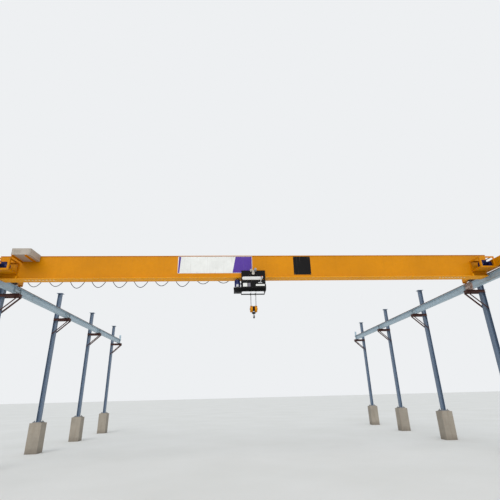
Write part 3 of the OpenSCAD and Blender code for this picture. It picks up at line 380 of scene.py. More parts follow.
def sheet_plastic(name, base, rough=0.35, gloss=0.4):
    """A flat printed or moulded sheet: even, a little dirty, scuffed at its edges."""
    s = Surface(name)
    film = s.band(s.noise(3.0, 5.0, 0.6), 0.3, 0.75)
    colour = s.mix(film, shade(base, 1.03), shade(base, 0.9))
    specks = s.band(s.noise(60.0, 6.0, 0.7), 0.64, 0.72, 0.0, 0.4)
    colour = s.mix(specks, colour, srgb(96, 88, 80))
    runs = s.band(s.noise(1.0, 5.0, 0.6, stretch=(20.0, 20.0, 1.1)), 0.56, 0.8, 0.0, 0.3)
    colour = s.mix(runs, colour, srgb(120, 110, 98))
    scuff = s.times(s.edges(0.004), 0.35)
    colour = s.mix(scuff, colour, srgb(130, 124, 116))
    s.bump((s.noise(5.0, 2.0), 0.002), (s.noise(240.0, 3.0), 0.0002))
    return s.finish(colour, s.band(film, 0.0, 1.0, rough, rough + 0.15), gloss=gloss)


RUST = srgb(98, 62, 44)
PRIMER = srgb(112, 74, 60)
DUST = srgb(176, 166, 150)
YELLOW = srgb(210, 134, 0)
WORN_YELLOW = srgb(84, 66, 50)
WORN_BLUE = srgb(92, 84, 78)
BLUE_GRIME = srgb(14, 17, 32)
BLUE_DUST = srgb(104, 102, 104)

MATERIALS = {
    "runway_paint": paint("runway_paint_worn", srgb(172, 192, 204), PRIMER, srgb(104, 108, 108), DUST,
                          wear=0.7, streaks=0.4, patchy=0.2, gloss=0.4, spot=bare_joint),
    "column_paint": paint("column_paint_worn", srgb(103, 121, 143), PRIMER, srgb(56, 66, 78), DUST,
                          wear=0.6, streaks=0.55, gloss=0.35),
    "oxide_paint": paint("oxide_paint_worn", srgb(76, 44, 38), RUST, srgb(40, 28, 25), DUST,
                         rough=0.7, wear=0.7, streaks=0.6, dusty=0.4, gloss=0.3),
    "concrete": cast_concrete(),
    "crane_paint": paint("crane_paint_worn", YELLOW, WORN_YELLOW, srgb(136, 84, 12), DUST,
                         streaks=0.14, patchy=0.1, gloss=0.12),
    "panel_paint": paint("panel_paint_worn", srgb(178, 168, 156), srgb(90, 84, 76), srgb(128, 112, 98), DUST,
                         rough=0.45, wear=0.35, streaks=0.3, gloss=0.35),
    "black_paint": paint("black_paint_worn", srgb(9, 9, 11), srgb(60, 56, 52), srgb(7, 6, 6),
                         srgb(66, 62, 58), wear=0.4, streaks=0.3, dusty=0.2, patchy=0.2, gloss=0.1),
    "motor_paint": paint("motor_paint_worn", srgb(18, 30, 92), WORN_BLUE, BLUE_GRIME, BLUE_DUST,
                         rough=0.4, wear=0.35, streaks=0.3, dusty=0.35, gloss=0.35),
    "cast_housing": bare_metal("cast_housing_grey", srgb(176, 180, 186), 0.46, 26.0, metal=0.4),
    "galvanised": bare_metal("galvanised_spangle", srgb(172, 174, 174), 0.48, 34.0, metal=0.75),
    "bare_steel": rusty_steel("bare_steel_worn", srgb(168, 164, 158), RUST, 0.9),
    "black_rubber": rubber("black_rubber_dusty", srgb(26, 26, 27)),
}
# The hoist motor wears the travel motors' navy made lighter: painted light, against the flange's shadow on
# it; its wear, dust and grey flange are real.
LIT_HOIST_MOTOR = paint("hoist_motor_lit_worn", srgb(26, 40, 104), WORN_BLUE, BLUE_GRIME, BLUE_DUST,
                    rough=0.38, wear=0.35, streaks=0.3, dusty=0.3, gloss=0.35, spot=grey_flange)
WHEEL_STEEL = rusty_steel("wheel_steel_worn", srgb(150, 146, 140), srgb(74, 62, 54), 0.9, sides_only=False)
# The bottom flange wears the girder's yellow made lighter: painted light, for the light that falls on its
# underside; its wear and dust are real.
LIT_FLANGE_YELLOW = paint("flange_paint_lit_worn", srgb(250, 168, 12), srgb(98, 84, 66), srgb(196, 126, 24), DUST,
                      rough=0.5, wear=0.6, streaks=0.3, dusty=0.8, patchy=0.12, gloss=0.12)
PALE_CAST = bare_metal("pale_casting", srgb(214, 216, 222), 0.5, 26.0, metal=0.1)
WARM_CAST = bare_metal("warm_casting", srgb(192, 186, 174), 0.5, 26.0, metal=0.2)

# Looks of the pieces made here: a slot, which build leaves unused since a material is given, and a material
# of their own
BOLT_STEEL = "bare_steel", bare_metal(
    "bolt_zinc", srgb(150, 146, 136), 0.42, 60.0, metal=0.85, tarnish=RUST)
BLACK_BOLT = "bare_steel", bare_metal(
    "bolt_black", srgb(46, 45, 46), 0.45, 60.0, metal=0.6, tarnish=RUST)
WELD_YELLOW = "crane_paint", paint(
    "weld_paint", shade(YELLOW, 0.92), WORN_YELLOW, srgb(120, 76, 16), DUST, wear=0.4)
PLUG_WELD = "crane_paint", paint(
    "plug_weld_paint", srgb(250, 232, 190), srgb(150, 130, 100), srgb(210, 180, 130), DUST,
    wear=0.3, gloss=0.3)
WHITE_BOARD = "panel_paint", sheet_plastic("board_white", srgb(226, 226, 222))
PURPLE_BAND = "panel_paint", sheet_plastic("board_purple", srgb(84, 54, 148), gloss=0.15)
BLACK_BOARD = "black_paint", sheet_plastic("board_black", srgb(17, 15, 15), 0.42, gloss=0.1)
LABEL_WHITE = "panel_paint", sheet_plastic("label_white", srgb(222, 222, 218), 0.3)
LABEL_GREY = "galvanised", sheet_plastic("label_grey", srgb(112, 108, 118), 0.3)
RED_PLASTIC = "black_rubber", sheet_plastic("red_plastic", srgb(206, 84, 34))
BRIGHT_ZINC = "galvanised", bare_metal("bright_zinc", srgb(206, 206, 206), 0.4, 60.0, metal=0.3)
BLACK_PLASTIC = "black_rubber", rubber("black_plastic", srgb(24, 24, 26), 0.4)
WIRE_ROPE = "bare_steel", stranded("wire_rope", srgb(150, 146, 140), 6, 0.036, 0.8, 0.36)
CABLE_SKIN = "black_rubber", rubber("cable_skin", srgb(22, 22, 24), 0.5)

NODE_MATERIALS = {
    "bottom_flange": LIT_FLANGE_YELLOW, "hoist_motor": LIT_HOIST_MOTOR, "motor_terminal_box": PALE_CAST,
    "travel_drive": WARM_CAST, "trolley_wheels": WHEEL_STEEL, "rope_drum": WHEEL_STEEL,
    "wheel_left_front": WHEEL_STEEL, "wheel_right_front": WHEEL_STEEL,
    "wheel_left_back": WHEEL_STEEL, "wheel_right_back": WHEEL_STEEL,
}
SOFT_EDGES = {
    "pedestals": 0.012, "control_panel": 0.003, "hoist_box": 0.002, "motor_terminal_box": 0.006,
    "brake_box": 0.004, "hook": 0.001, "block_yoke": 0.003, "trolley_plates": 0.0015,
}
for part in frame["record"]["subparts"]:
    mesh = frame["nodes"][part["node"]].data
    mesh.materials.clear()
    mesh.materials.append(NODE_MATERIALS.get(part["node"], MATERIALS[part["material_slot"]]))
for node, width in SOFT_EDGES.items():
    soft = frame["nodes"][node].modifiers.new("soft_edges", "BEVEL")
    soft.width = width
    soft.segments = 2
    soft.limit_method = "ANGLE"
    soft.angle_limit = math.radians(40)


# Meshes

TINY = 1e-5
SMOOTH_ANGLE = math.radians(35)
M8, M10, M16, M24 = 0.008, 0.01, 0.016, 0.024

# Radius and height of small parts, in units of the thread, of the head or of the cable
WASHER = ((1.02, 0), (1.02, 0.14), (0.5, 0.15))
NUT = ((0.9, 0.12), (0.95, 0.2), (0.95, 0.8), (0.84, 0.92))
HEAD = ((1, 0), (0.96, 0.3), (0.7, 0.62), (0.3, 0.78), (0, 0.8))
GLAND_HEXAGON = ((2.3, 0), (2.3, 0.9))
GLAND_CAP = ((1.9, 0.8), (1.9, 2.2), (1.3, 3.2))


def scaled(profile, size):
    return [(radius * size, height * size) for radius, height in profile]


def frame_of(axis):
    """Two directions at right angles to axis and to each other."""
    helper = Z if abs(axis.z) < 0.9 else X
    side = helper.cross(axis).normalized()
    return side, axis.cross(side)


def turns(count, start=0.0):
    """count evenly spaced angles."""
    return [start + 2 * math.pi * k / count for k in range(count)]


def circle(centre, side, other, radius, angles):
    """Points round centre, in the plane of the directions side and other."""
    return [centre + (side * math.cos(angle) + other * math.sin(angle)) * radius for angle in angles]


def curve(points):
    """A smooth curve that leaves the first point and reaches the last one along the others."""
    a, b, c, d = points
    steps = 12
    path = []
    for k in range(steps + 1):
        t = k / steps
        u = 1 - t
        path.append(a * u ** 3 + b * (3 * u * u * t) + c * (3 * u * t * t) + d * t ** 3)
    return path


def around(middle, *halves):
    """Values on both sides of the middle one."""
    return [middle + sign * half for half in halves for sign in (-1, 1)]


def spread(low, high, inset=0.0, count=2):
    """count evenly spaced values from low to high, without the inset at each end."""
    return [low + inset + k * (high - low - 2 * inset) / (count - 1) for k in range(count)]


def cells(xs, ys, zs):
    """All points with one of the xs, ys and zs. Each of the three can be a plain number."""
    xs, ys, zs = ([part] if isinstance(part, (int, float)) else part for part in (xs, ys, zs))
    return [vec(x, y, z) for x in xs for y in ys for z in zs]


def put(name, data):
    """Adds an object to the scene."""
    piece = bpy.data.objects.new(name, data)
    bpy.context.scene.collection.objects.link(piece)
    return piece


class Shape:
    """Solids collected into one mesh, in the row frame."""

    def __init__(self):
        self.bm = bmesh.new()
        self.uv = self.bm.loops.layers.uv.new("UVMap")

    def skin(self, rings):
        """Joins rings of points into a closed solid. Each ring has the same number of points."""
        loops = [[self.bm.verts.new(point) for point in ring] for ring in rings]
        count = len(loops[0])
        length = 0.0
        for a, b, ring_a, ring_b in zip(loops, loops[1:], rings, rings[1:]):
            step = (sum(ring_b, Vector()) - sum(ring_a, Vector())).length / count
            for k in range(count):
                n = (k + 1) % count
                face = self.bm.faces.new((a[k], a[n], b[n], b[k]))
                corners = ((k, length), (k + 1, length), (k + 1, length + step), (k, length + step))
                for loop, (index, along) in zip(face.loops, corners):
                    loop[self.uv].uv = (index / count, along)
            length += step
        self.bm.faces.new(list(reversed(loops[0])))
        self.bm.faces.new(loops[-1])

    def box(self, low, high):
        (x0, y0, z0), (x1, y1, z1) = low, high
        corners = ((x0, y0), (x1, y0), (x1, y1), (x0, y1))
        self.skin([[vec(x, y, z) for x, y in corners] for z in (z0, z1)])

    def prism(self, outline, start, along):
        """outline is a list of points, moved from start to start + along."""
        self.skin([[start + point for point in outline], [start + along + point for point in outline]])

    def lathe(self, at, axis, profile, sides=24, turn=0.0):
        """profile is (radius, height along axis) pairs, from the bottom up."""
        side, other = frame_of(axis)
        angles = turns(sides, turn)
        self.skin([circle(at + axis * height, side, other, max(radius, TINY), angles)
                   for radius, height in profile])

    def tube(self, points, radius, sides=10):
        """A round tube along points. Its rings keep one twist, so that it never pinches."""
        last = len(points) - 1
        side, _ = frame_of((points[1] - points[0]).normalized())
        rings = []
        for k, point in enumerate(points):
            forward = (points[min(k + 1, last)] - points[max(k - 1, 0)]).normalized()
            side = (side - forward * side.dot(forward)).normalized()
            rings.append(circle(point, side, forward.cross(side), radius, turns(sides)))
        self.skin(rings)

    def ring(self, at, axis, radius, wire, sides=28):
        """A closed ring of round wire."""
        side, other = frame_of(axis)
        points = circle(at, side, other, radius, turns(sides))
        self.tube(points + points[:1], wire, 6)

    def plate(self, low, high, y, thickness, corner=0.012):
        """A plate in X and Z with round corners, from y towards the front."""
        (x0, z0), (x1, z1) = low, high
        left, right, bottom, top = x0 + corner, x1 - corner, z0 + corner, z1 - corner
        outline = []
        for quarter, (x, z) in enumerate(((right, top), (left, top), (left, bottom), (right, bottom))):
            angles = [math.pi / 2 * (quarter + k / 4) for k in range(5)]
            outline += circle(vec(x, 0, z), X, Z, corner, angles)
        self.prism(outline, vec(0, y, 0), -Y * thickness)

    def gland(self, at, axis, cable):
        """A cable gland for a cable of that radius: a hexagon and a tapering cap."""
        self.lathe(at, axis, scaled(GLAND_HEXAGON, cable), 6)
        self.lathe(at, axis, scaled(GLAND_CAP, cable), 14)

    def bolts(self, places, axis, size, stud=0.6):
        """Hexagon nuts on washers, with the ends of their studs, for a thread of that diameter."""
        stud_end = (0.5, 0.85), (0.5, 0.82 + stud), (0.4, 0.9 + stud)
        for at in places:
            turn = random.uniform(0, math.pi)
            self.lathe(at, axis, scaled(WASHER, size), 20)
            self.lathe(at, axis, scaled(NUT, size), 6, turn)
            if stud:
                self.lathe(at, axis, scaled(stud_end, size), 12)

    def heads(self, places, axis, radius):
        """Low domed screw heads."""
        for at in places:
            self.lathe(at, axis, scaled(HEAD, radius), 14)

    def weld(self, a, b, out, size, step=0.012):
        """A rippled fillet bead from a to b in a corner that opens towards out."""
        run = b - a
        count = max(2, int(run.length / step))
        across = run.normalized().cross(out).normalized()
        foot = out * 0.3 * size
        rings = []
        for k in range(count + 1):
            swell = size * (0.85 + 0.3 * random.random())
            centre = a + run * (k / count)
            flank = across * 0.62 * swell
            rise = out * 0.45 * swell
            rings.append([centre - across * swell - foot, centre - flank + rise, centre + out * 0.72 * swell,
                          centre + flank + rise, centre + across * swell - foot])
        self.skin(rings)

    def build(self, name, body, slot, material=None):
        """Makes the piece, in the slot's own material or in another, and lets it ride on body."""
        mesh = bpy.data.meshes.new(name)
        bmesh.ops.recalc_face_normals(self.bm, faces=self.bm.faces)
        self.bm.to_mesh(mesh)
        self.bm.free()
        mesh.shade_smooth()
        mesh.set_sharp_from_angle(angle=SMOOTH_ANGLE)
        mesh.materials.append(material or MATERIALS[slot])
        piece = put(name, mesh)
        if body:
            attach(piece, body)
        return piece


# Runway: anchor bolts, bracket welds, seat bolts, splice bolts, end stop bolts and rail welds

def runway_details():
    anchors, seats, splices, bracket_beads, rail_beads = (Shape() for _ in range(5))
    base_plate_t, beam_flange_t, seat_plate_t, stop_plate_t, splice_t = 0.02, 0.012, 0.011, 0.012, 0.008
    beam_web_half = 0.0035
    beam_middle = (BEAM_LOW.z + BEAM_HIGH.z) / 2
    anchor_half = 0.12
    column_half, arm_half = 0.075, 0.0875
    arm_low, arm_high, arm_bead = 5.56, 5.66, 0.007
    seat_half_x, seat_half_y = 0.045, 0.06
    splice_ys, splice_half_z = (0.045, 0.125), 0.055
    stop_insets = (0.025, 0.095)
    rail_bead, rail_run, rail_step, rail_margin = 0.006, 0.07, 0.45, 0.1
    for side in (-1, 1):
        column = side * COLUMN_X
        rail = side * RAIL_X
        for y in LINES:
            anchor_xs, anchor_ys = around(column, anchor_half), around(y, anchor_half)
            anchors.bolts(cells(anchor_xs, anchor_ys, COLUMN_LOW.z + base_plate_t), Z, M24, stud=1.1)
            for corner in cells(around(column, column_half), around(y, arm_half), 0):
                dx, dy = corner.x - column, corner.y - y
                out = vec(math.copysign(1, dx), math.copysign(1, dy), 0).normalized()
                bracket_beads.weld(corner + Z * arm_low, corner + Z * arm_high, out, arm_bead)
            for at in cells(around(rail, seat_half_x), around(y, seat_half_y), BEAM_LOW.z):
                seats.bolts([at + Z * beam_flange_t], Z, M16, stud=0.4)
                seats.bolts([at - Z * seat_plate_t], -Z, M16, stud=0.8)
        for y in LINES[1:-1]:
            for face in (-1, 1):
                x = rail + face * (beam_web_half + splice_t)
                places = cells(x, around(y, *splice_ys), around(beam_middle, splice_half_z))
                splices.bolts(places, X * face, M16, stud=0.5)
        for end in (-1, 1):
            stop_ys = [end * (STOP_HIGH.y - inset) for inset in stop_insets]
            places = cells(around(rail, seat_half_x), stop_ys, BEAM_HIGH.z + stop_plate_t)
            seats.bolts(places, Z, M16, stud=0.4)
        for face in (-1, 1):
            x = rail + face * RAIL_HALF
            out = vec(face, 0, 1).normalized()
            y = RAIL_LOW.y + rail_margin
            while y < RAIL_HIGH.y - rail_margin:
                start = vec(x, y, BEAM_HIGH.z)
                rail_beads.weld(start, start + Y * rail_run, out, rail_bead)
                y += rail_step
    anchors.build("anchor_bolts", "runway", *BOLT_STEEL)
    seats.build("seat_bolts", "runway", *BOLT_STEEL)
    splices.build("splice_bolts", "runway", *BOLT_STEEL)
    bracket_beads.build("bracket_welds", "runway", "oxide_paint")
    rail_beads.build("rail_welds", "runway", "bare_steel")


# Girder: welds along its flanges, and plug welds under its ends

def girder_details():
    beads, plugs = Shape(), Shape()
    flange_t = 0.012
    bead, ripple = 0.007, 0.03
    for y, sign in ((WEB_LOW.y, -1), (BACK_WEB_HIGH.y, 1)):
        for z, up in ((FLANGE_LOW.z + flange_t, 1), (WEB_HIGH.z, -1)):
            x = FLANGE_HIGH.x if up > 0 else WEB_HIGH.x
            out = vec(0, sign, up).normalized()
            beads.weld(vec(-x, y, z), vec(x, y, z), out, bead, ripple)
    beads.build("girder_welds", "bridge", *WELD_YELLOW)

    first_x, step_x, plug_y = 6.75, 0.115, GIRDER_Y - 0.01
    plug_r, plug_t = 0.03, 0.0015
    plug = circle(Vector(), X, Y, plug_r, turns(18))
    for k in range(9):
        for x in around(0, first_x + step_x * k):
            plugs.prism(plug, vec(x, plug_y, FLANGE_LOW.z), -Z * plug_t)
    plugs.build("plug_welds", "bridge", *PLUG_WELD)


# Bolts of the bearing housings, the end carriages, the buffers and the guards, and the guards' cleats

def carriage_bolts(bolts, side):
    housing_face, housing_bolt_r = 0.096, 0.057
    end_bolt_x, low_inset, high_inset = 0.07, 0.05, 0.025
    buffer_bolt_r = 0.066
    buffer_z = (BUFFER_LOW.z + BUFFER_HIGH.z) / 2
    quarters = turns(4, math.pi / 4)
    middle = side * RAIL_X
    for face in (-1, 1):
        for wheel_y in (WHEEL_Y, 2 * GIRDER_Y - WHEEL_Y):
            axle = vec(middle + face * housing_face, wheel_y, WHEEL_Z)
            bolts.bolts(circle(axle, Y, Z, housing_bolt_r, quarters), X * face, M10, stud=0)
    for face, y in ((-1, CARRIAGE_LOW.y), (1, CARRIAGE_HIGH.y)):
        heights = CARRIAGE_LOW.z + low_inset, CARRIAGE_HIGH.z - high_inset
        bolts.bolts(cells(around(middle, end_bolt_x), y, heights), Y * face, M10, stud=0)
        bolts.bolts(circle(vec(middle, y, buffer_z), X, Z, buffer_bolt_r, quarters), Y * face, M8, stud=0)


def guard_fixings(bolts, cleats, side):
    head_r, inset, middle_y, middle_x = 0.009, 0.03, 0.265, 0.27
    leg, leg_t, bolt_x = 0.05, 0.005, 0.031
    guard_t, cleat_low, cleat_high = 0.005, 0.1, 0.15
    heights = spread(GUARD_LOW.z, GUARD_HIGH.z, inset)
    ys = GUARD_LOW.y + inset, GUARD_LOW.y + middle_y, GUARD_HIGH.y - inset
    bolts.heads(cells(side * GUARD_LOW.x, ys, heights), X * -side, head_r)
    xs = side * (GUARD_LOW.x + inset), side * (GUARD_LOW.x + middle_x), side * (GUARD_HIGH.x - inset)
    bolts.heads(cells(xs, GUARD_LOW.y, heights), -Y, head_r)
    inner = GUARD_LOW.x + guard_t
    for z in (GUARD_LOW.z + cleat_low, GUARD_HIGH.z - cleat_high):
        for reach_x, reach_y in ((leg_t, leg), (leg, leg_t)):
            left, right = sorted((side * inner, side * (inner + reach_x)))
            cleats.box((left, WEB_Y - reach_y, z), (right, WEB_Y, z + leg))
        bolts.bolts([vec(side * (inner + bolt_x), WEB_Y - leg_t, z + leg / 2)], -Y, M10, stud=0)


def carriage_details():
    bolts, cleats = Shape(), Shape()
    for side in (-1, 1):
        carriage_bolts(bolts, side)
        guard_fixings(bolts, cleats, side)
    bolts.build("carriage_bolts", "bridge", *BOLT_STEEL)
    cleats.build("guard_cleats", "bridge", "crane_paint")


# Travel motors: cooling fins, fan cowls and grilles, brake boxes, glands and cables

def travel_details():
    skins, grilles, glands, cables = (Shape() for _ in range(4))
    motor_r, motor_l = 0.095, 0.395
    axis_y = (TRAVEL_LOW.y + TRAVEL_HIGH.y) / 2
    axis_z = TRAVEL_LOW.z + motor_r
    cowl = [(0.07, 0), (0.1, 0.004), (0.111, 0.016), (0.113, 0.088), (0.1, 0.09)]
    fin_low, fin_high, fin_half, fin_start, fin_l = 0.078, 0.109, 0.002, 0.095, 0.165
    wire_r, wire_rings, spoke_l = 0.0016, (0.02, 0.036, 0.052, 0.068), 0.076
    box_x, box_back, box_cut, box_top, lid_top = 0.165, 0.062, 0.014, 0.03, 0.042
    cable_r, cable_drop, cable_bend = 0.007, 0.09, 0.08
    for side in (-1, 1):
        outward = X * side
        end = vec(side * (TRAVEL_HIGH.x - motor_l), axis_y, axis_z)
        skins.lathe(end, outward, cowl, 40)
        for out in circle(Vector(), Y, Z, 1, turns(30)):
            across = X.cross(out) * fin_half
            fin = [out * fin_low - across, out * fin_high - across,
                   out * fin_high + across, out * fin_low + across]
            skins.prism(fin, end + outward * fin_start, outward * fin_l)
        for radius in wire_rings:
            grilles.ring(end - outward * 0.001, outward, radius, wire_r)
        for spoke in circle(Vector(), Y, Z, spoke_l, turns(3)):
            grilles.tube([end - spoke - outward * 0.002, end + spoke - outward * 0.002], wire_r, 6)
        centre = vec(end.x + side * box_x, axis_y, 0)
        for half_x, half_y, low, high in ((0.088, box_back, -box_top, box_top),
                                          (0.092, 0.066, box_top, lid_top)):
            short_x, short_y = half_x - box_cut, half_y - box_cut
            corners = ((-short_x, -half_y), (short_x, -half_y), (half_x, -short_y), (half_x, short_y),
                       (short_x, half_y), (-short_x, half_y), (-half_x, short_y), (-half_x, -short_y))
            outline = [centre + X * dx + Y * dy for dx, dy in corners]
            skins.prism(outline, Z * (TRAVEL_HIGH.z + low), Z * (high - low))
        outlet = vec(centre.x, axis_y + box_back, TRAVEL_HIGH.z)
        entry = vec(outlet.x, WEB_Y, outlet.z - cable_drop)
        glands.gland(outlet, Y, cable_r)
        glands.gland(entry, -Y, cable_r)
        path = curve([outlet, outlet + Y * cable_bend, entry - Y * cable_bend, entry])
        cables.tube(path, cable_r, 8)
    skins.build("motor_skins", "bridge", "motor_paint")
    grilles.build("motor_grilles", "bridge", "motor_paint")
    glands.build("motor_glands", "bridge", *BLACK_PLASTIC)
    cables.build("motor_cables", "bridge", *CABLE_SKIN)


# Hinges and latches of the control panel's door

def panel_details():
    metal, slots = Shape(), Shape()
    middle = (PANEL_LOW.z + PANEL_HIGH.z) / 2
    knuckle = [(0.005, 0), (0.006, 0.001), (0.006, 0.043), (0.005, 0.044)]
    knuckle_l, hinge_inset, leaf_w, leaf_t = 0.044, 0.012, 0.03, 0.002
    knob = [(0.013, 0), (0.013, 0.003), (0.01, 0.007), (0.009, 0.007)]
    latch_inset, slot_half_x, slot_half_z = 0.04, 0.007, 0.0015
    for z in around(middle, 0.06):
        hinge = vec(PANEL_LOW.x + hinge_inset, DOOR_Y - 0.004, z - knuckle_l / 2)
        metal.lathe(hinge, Z, knuckle, 12)
        leaf_low = (hinge.x - leaf_t, DOOR_Y - leaf_t, hinge.z)
        metal.box(leaf_low, (hinge.x + leaf_w, DOOR_Y, hinge.z + knuckle_l))
        latch = vec(PANEL_HIGH.x - latch_inset, DOOR_Y, z)
        metal.lathe(latch, -Y, knob, 20)
        slots.box((latch.x - slot_half_x, DOOR_Y - 0.009, latch.z - slot_half_z),
                  (latch.x + slot_half_x, DOOR_Y - 0.006, latch.z + slot_half_z))
    metal.build("panel_hinges", "bridge", "panel_paint")
    slots.build("latch_slots", "bridge", *BLACK_PLASTIC)


# Plain boards on the front web

def boards():
    white, dark, bands, screws = (Shape() for _ in range(4))
    (x0, z0), (x1, z1) = (-2.60, 6.01), (-0.02, 6.626)
    dark_low, dark_high = (1.44, 5.94), (2.05, 6.615)
    board_t, band_t, border = 0.004, 0.001, 0.012
    screw_inset, screw_r = 0.03, 0.008
    white.plate((x0, z0), (x1, z1), WEB_Y, board_t)
    dark.plate(dark_low, dark_high, WEB_Y, board_t)
    left, right, low, high = x0 + border, x1 - border, z0 + border, z1 - border
    for corners in (((left, low), (x0 + 0.06, low), (x0 + 0.1, high), (left + 0.02, high)),
                    ((x1 - 0.69, low), (right, low), (right, high), (x1 - 0.58, high))):
        outline = [vec(x, 0, z) for x, z in corners]
        bands.prism(outline, vec(0, WEB_Y - board_t, 0), -Y * band_t)
    for (left, bottom), (right, top), count in (((x0, z0), (x1, z1), 5), (dark_low, dark_high, 2)):
        xs, zs = spread(left, right, screw_inset, count), spread(bottom, top, screw_inset)
        screws.heads(cells(xs, WEB_Y - board_t - band_t, zs), -Y, screw_r)
    white.build("white_board", "bridge", *WHITE_BOARD)
    dark.build("black_board", "bridge", *BLACK_BOARD)
    bands.build("board_bands", "bridge", *PURPLE_BAND)
    screws.build("board_screws", "bridge", *BOLT_STEEL)


# Trolley: axle nuts, tie bolts, drive screws, the strip, the limit switch and lever, and the labels

def plates_and_drive(nuts, screws):
    tie_xs, tie_z, tie_thread = around(0, 0.33, 0.385), PLATE_LOW.z + 0.035, 0.014
    arm_xs, arm_t, arm_drop, arm_thread = (-0.33, -0.30), 0.008, 0.025, 0.009
    for face, y in ((-1, PLATE_LOW.y), (1, PLATE_HIGH.y)):
        nuts.bolts(cells(around(0, AXLE_X), y, AXLE_Z), Y * face, M24, stud=0.5)
        bare_xs = [x for x in tie_xs if x > 0 or face > 0]
        nuts.bolts(cells(bare_xs, y, tie_z), Y * face, tie_thread, stud=0.5)
    nuts.bolts(cells(arm_xs, PLATE_HIGH.y + arm_t, PLATE_HIGH.z - arm_drop), Y, arm_thread, stud=0.4)

    case_y, case_screw = PLATE_LOW.y - 0.045, 0.0042
    lobe_screw_r, foot_z, foot_screw_r = 0.043, DRIVE_LOW.z + 0.061, 0.04
    lobe_x, lobe_z = (CROSS_LOW.x + CROSS_HIGH.x) / 2, (CROSS_LOW.z + CROSS_HIGH.z) / 2
    lobe, foot = vec(-lobe_x, case_y, lobe_z), vec(0, case_y, foot_z)
    screws.heads(circle(lobe, X, Z, lobe_screw_r, turns(6, 0.5)), -Y, case_screw)
    screws.heads(circle(foot, X, Z, foot_screw_r, (-2.6, -1.57, -0.54)), -Y, case_screw)
    for radius in (0.01, 0.018, 0.026):
        nuts.ring(vec(lobe_x, CROSS_LOW.y, lobe_z), -Y, radius, 0.0012)


def strip_and_switch(strip, red, screws):
    bottom, top = PLATE_LOW.z - 0.015, PLATE_LOW.z + 0.1
    round_x, end_x, thickness = -0.326, 0.265, 0.004
    screw_xs, screw_drop, screw_r = (-0.3, -0.1, 0.1, 0.24), 0.02, 0.006
    radius = (top - bottom) / 2
    half_turn = [math.pi / 2 + math.pi * k / 12 for k in range(13)]
    outline = [vec(end_x, 0, bottom), vec(end_x, 0, top)]
    outline += circle(vec(round_x, 0, bottom + radius), X, Z, radius, half_turn)
    strip.prism(outline, vec(0, PLATE_LOW.y, 0), -Y * thickness)
    screws.heads(cells(screw_xs, PLATE_LOW.y - thickness, top - screw_drop), -Y, screw_r)
    red.box((end_x + 0.005, PLATE_LOW.y - 0.026, top - 0.03), (end_x + 0.055, PLATE_LOW.y, top + 0.008))


def limit_lever(lever):
    """A bent rod on a pivot, down to a round pad on its plate."""
    pivot = vec(0.3, PLATE_LOW.y, BOX_HIGH.z + 0.085)
    pad = vec(0.225, BOX_LOW.y, 5.6)
    front, rod_r = BOX_LOW.y - 0.02, 0.0095
    hub = [(0.026, 0), (0.026, 0.012), (0.012, 0.013), (0.012, 0.09), (0.026, 0.091),
           (0.026, 0.108), (0.02, 0.112)]
    rod = [vec(pivot.x, front, pivot.z), vec(0.285, front, pivot.z - 0.07),
           vec(0.24, front, pivot.z - 0.1), vec(pad.x, front, pad.z)]
    lever.lathe(pivot, -Y, hub, 20)
    lever.tube(curve(rod), rod_r, 10)
    lever.lathe(pad, -Y, [(0.02, 0), (0.02, 0.022), (0.014, 0.03)], 20)
    lever.plate((pad.x - 0.07, pad.z - 0.014), (pad.x + 0.06, pad.z + 0.014), BOX_LOW.y, 0.003, 0.01)


def box_face(labels, grey, screws):
    """Labels and cover screws on the front of the switchgear box."""
    label_t, label_corner = 0.0012, 0.006
    labels.plate((-0.36, 5.465), (-0.215, 5.59), BOX_LOW.y, label_t, label_corner)
    labels.plate((0.075, 5.485), (0.375, 5.548), BOX_LOW.y, label_t, label_corner)
    grey.plate((-0.19, 5.465), (-0.11, 5.59), BOX_LOW.y, label_t, label_corner)
    for z in (BOX_HIGH.z - 0.251, BOX_HIGH.z - 0.039):
        screws.heads(cells(spread(-0.365, 0.365, count=6), BOX_LOW.y, z), -Y, 0.006)


def trolley_details():
    nuts, screws, strip, labels, grey, red, lever = (Shape() for _ in range(7))
    plates_and_drive(nuts, screws)
    strip_and_switch(strip, red, screws)
    limit_lever(lever)
    box_face(labels, grey, screws)
    nuts.build("trolley_nuts", "trolley", *BLACK_BOLT)
    screws.build("trolley_screws", "trolley", *BOLT_STEEL)
    strip.build("trolley_strip", "trolley", *LABEL_WHITE)
    labels.build("box_labels", "trolley", *LABEL_WHITE)
    grey.build("box_plate", "trolley", *LABEL_GREY)
    red.build("limit_switch", "trolley", *RED_PLASTIC)
    lever.build("limit_lever", "trolley", *BRIGHT_ZINC)


# Hoist: bolts of the gearbox, the brake box and the motor, glands, cables and rope sockets

def gearbox_and_brake(bolts):
    rim_x, rim_r, cap_r, gear_screw = GEARBOX_LOW.x + 0.012, 0.1445, 0.034, 0.0045
    bolts.heads(circle(vec(rim_x, GIRDER_Y, DRUM_Z), Y, Z, rim_r, turns(12)), X, gear_screw)
    bolts.heads(circle(vec(GEARBOX_HIGH.x, GIRDER_Y, DRUM_Z), Y, Z, cap_r, turns(4, 0.4)), X, gear_screw)
    cover_y, cover_screw, edge_x, edge_y = BRAKE_LOW.y + 0.008, 0.006, 0.015, 0.014
    xs, zs = (BRAKE_LOW.x + 0.03, BRAKE_HIGH.x - 0.022), (BRAKE_LOW.z + 0.02, BRAKE_HIGH.z - 0.03)
    bolts.heads(cells(xs, cover_y, zs), -Y, cover_screw)
    xs, ys = spread(BRAKE_LOW.x, BRAKE_HIGH.x, edge_x), spread(BRAKE_LOW.y, BRAKE_HIGH.y, edge_y)
    bolts.bolts(cells(xs, ys, BRAKE_HIGH.z), Z, M8, stud=0.3)


